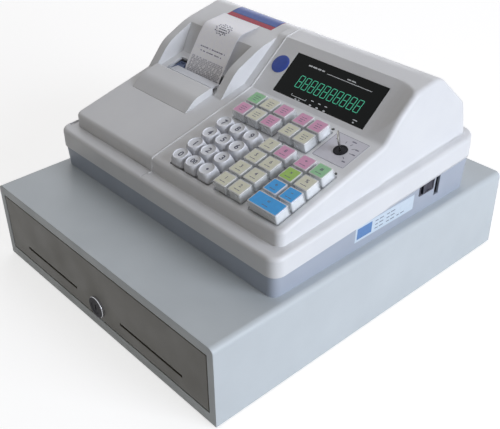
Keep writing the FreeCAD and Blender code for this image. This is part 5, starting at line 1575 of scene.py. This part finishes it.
class SmallHardware:
    """Screws in the back, the power inlet, the switch's bezel and two dark dots of painted shade on the
    deck.
    """

    HEAD = 3.2
    OUTSIDE = 400.0

    def screws(self) -> None:
        """Put four pan heads with a cross in them in the tub's rear wall."""
        target = Target("base_shell")
        shape = Sculpt()
        profile = [(self.HEAD * share, height) for share, height in
                   ((1.0, -0.3), (1.0, 0.7), (0.92, 1.2), (0.7, 1.6), (0.45, 1.75))]
        for x in (-150.0, -50.0, 50.0, 150.0):
            place = facing(*target.land(Vector((x, self.OUTSIDE, 101.0)), Vector((0, -1, 0))))
            shape.loft(turned(profile + [(0.3, 1.78)], 32), 0, place)
            for turn in (0, 90):
                shape.block((1.7, 0.32), 1.5, 1.83, 1, place @ turn_z(turn), 0.1)
        settle(shape.build("back_screws", (ZINC, BLACK_NYLON)), "case")

    def inlet(self) -> None:
        """Put the power inlet and its pins in the tub's rear wall."""
        shape = Sculpt()
        place = Matrix.Translation((110.0, 158.4, 104.0)) @ Matrix.Rotation(math.radians(-90), 4, "X")
        rim = ((13.8, 5.8, 1.2, -9.0), (13.8, 5.8, 1.2, -0.4), (13.4, 5.4, 1.0, 0.0), (11.4, 4.4, 3.6, 0.0),
               (11.2, 4.2, 3.6, -0.3), (11.0, 4.0, 3.6, -7.0))
        shape.loft([rounded(*sizes, 5) for sizes in rim], 0, place)
        for x in (-4.4, 4.4):
            shape.loft(turned(((1.2, -7.4), (1.2, -1.6), (0.7, -1.0)), 20), 1,
                       place @ Matrix.Translation((x, 0, 0)))
        settle(shape.build("power_inlet_socket", (BLACK_NYLON, CHROME)), "case")

    def bezel(self) -> None:
        """Frame the rocker with a thin dark lip."""
        rise = 8.0
        spot, normal = Target("base_shell").land(Vector((self.OUTSIDE, 85.0, 109.0)), Vector((-1, 0, 0)))
        spot += Vector((0, 0, rise)) - normal * (rise * normal.z)
        loops = [outline(rounded(*sizes, 0.0, 4)) for sizes in ((11.4, 6.6, 1.6), (9.9, 5.1, 0.8))]
        shape = Sculpt()
        shape.mesh(plate_mesh(loops, 0.9, 0.3), 0, facing(spot, normal))
        settle(shape.build("switch_bezel", (SWITCH_NYLON,)), "case")

    def pads(self) -> None:
        """Set two small dark dots on the deck: painted shade where the corners of the key pockets fall dark.
        """
        shape = Sculpt()
        for x, rise in ((98.0, 138.3), (142.8, 92.5)):
            shape.loft(turned(((1.5, -0.2), (1.5, 0.3), (1.3, 0.5), (0.8, 0.62), (0.2, 0.65)), 32), 0,
                       DECK.place(x, rise))
        settle(shape.build("deck_painted_shade_dots", (BLACK_NYLON,)), "case")

    def build(self) -> None:
        """Make the screws, the inlet, the bezel and the dots of painted shade."""
        self.screws()
        self.inlet()
        self.bezel()
        self.pads()


@dataclass
class Studio:
    """The floor, the light and the camera of the picture."""

    azimuth: float = 48.1
    elevation: float = 33.66
    roll: float = -0.85
    place: tuple[float, float, float] = (551.8, -495.4, 538.1)
    focal: float = 815.6
    width: float = 500.0
    sensor: float = 36.0
    floor_half: float = 20.0

    def camera(self) -> None:
        """Set the camera at the photograph's own angle."""
        turn, rise, roll = (math.radians(value) for value in (self.azimuth, self.elevation, self.roll))
        back = Vector((math.sin(turn) * math.cos(rise), -math.cos(turn) * math.cos(rise), math.sin(rise)))
        right = (-back).cross(Vector((0, 0, 1))).normalized()
        up = back.cross(right)
        sideways = right * math.cos(roll) + up * math.sin(roll)
        upright = up * math.cos(roll) - right * math.sin(roll)
        data = bpy.data.cameras.new("camera")
        data.sensor_width = self.sensor
        data.sensor_fit = "HORIZONTAL"
        data.lens = self.focal / self.width * data.sensor_width
        data.clip_start, data.clip_end = 0.01, 50.0
        item = add_object("camera", data)
        matrix = Matrix((sideways, upright, back)).transposed().to_4x4()
        matrix.translation = Vector(self.place) * MM
        item.matrix_world = matrix
        bpy.context.scene.camera = item

    def lamp(self, name: str, place: tuple[float, float, float], size: float, power: float,
             colour: str) -> None:
        """Hang one soft lamp that looks at the register.

        Args:
            name: Its name.
            place: Where it hangs, in metres.
            size: Its side, in metres.
            power: Its power in watts.
            colour: Its colour.
        """
        data = bpy.data.lights.new(name, "AREA")
        data.shape = "SQUARE"
        data.size = size
        data.energy = power
        data.color = linear(colour)[:3]
        item = add_object(name, data)
        item.location = place
        item.rotation_euler = (Vector((0, 0, 0.1)) - Vector(place)).to_track_quat("-Z", "Y").to_euler()

    def seen(self, tree: Tree) -> Socket:
        """One for rays from the camera, from a mirror or through glass.

        Args:
            tree: The node tree.

        Returns:
            The factor.
        """
        path = add(tree, "ShaderNodeLightPath")
        total = path.outputs["Is Camera Ray"]
        for name in ("Is Glossy Ray", "Is Transmission Ray"):
            total = add(tree, "ShaderNodeMath", links={0: total, 1: path.outputs[name]},
                        operation="MAXIMUM").outputs[0]
        return total

    def surroundings(self) -> None:
        """Light the scene from all round, and show white to the camera."""
        world = bpy.data.worlds.new("studio")
        world.use_nodes = True
        tree = world.node_tree
        tree.nodes.clear()
        fill = add(tree, "ShaderNodeBackground", {"Color": linear("#F3EADA"), "Strength": 0.16})
        white = add(tree, "ShaderNodeBackground", {"Color": (1, 1, 1, 1), "Strength": 1.0})
        mixed = add(tree, "ShaderNodeMixShader",
                    links={0: self.seen(tree), 1: fill.outputs[0], 2: white.outputs[0]})
        add(tree, "ShaderNodeOutputWorld", links={"Surface": mixed.outputs[0]})
        bpy.context.scene.world = world

    def floor(self) -> None:
        """Lay a pale floor that keeps the register's shadow and is lifted towards white where it is seen."""
        material = bpy.data.materials.new("pale_floor")
        material.use_nodes = True
        tree = material.node_tree
        tree.nodes.clear()
        matt = add(tree, "ShaderNodeBsdfDiffuse", {"Color": linear("#C4C4C4")})
        share = add(tree, "ShaderNodeMath", {1: 0.7}, {0: self.seen(tree)}, operation="MULTIPLY").outputs[0]
        lift = add(tree, "ShaderNodeEmission", {"Color": (1, 1, 1, 1)}, {"Strength": share})
        both = add(tree, "ShaderNodeAddShader", links={0: matt.outputs[0], 1: lift.outputs[0]})
        add(tree, "ShaderNodeOutputMaterial", links={"Surface": both.outputs[0]})
        mesh = bpy.data.meshes.new("floor")
        half = self.floor_half
        mesh.from_pydata([(-half, -half, 0), (half, -half, 0), (half, half, 0), (-half, half, 0)], [],
                         [(0, 1, 2, 3)])
        mesh.materials.append(material)
        add_object("floor", mesh)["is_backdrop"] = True

    def build(self) -> None:
        """Set up the camera, the lamps, the surroundings and the floor."""
        self.camera()
        self.lamp("key_lamp", (2.1, 0.3, 0.85), 1.4, 43.0, "#EEF4FF")
        self.lamp("top_lamp", (-0.3, 0.5, 2.2), 1.6, 8.0, "#F6F7FF")
        self.lamp("rear_lamp", (-1.9, 1.7, 0.8), 1.6, 14.0, "#F6F7FF")
        self.surroundings()
        self.floor()
        bpy.context.scene.view_settings.view_transform = "Standard"


def corners() -> list[list[float]]:
    """The shown object's lowest and highest corners."""
    return [list(corner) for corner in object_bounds()]


def main() -> None:
    """Build the looks of the register in order."""
    logging.basicConfig(level=logging.INFO, format="%(message)s")
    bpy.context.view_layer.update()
    for part in (Studio, Shells, Keyboard, Display, ModeLock, Ticket, Labels, Mouth, SmallHardware):
        part().build()


if __name__ == "__main__":
    main()
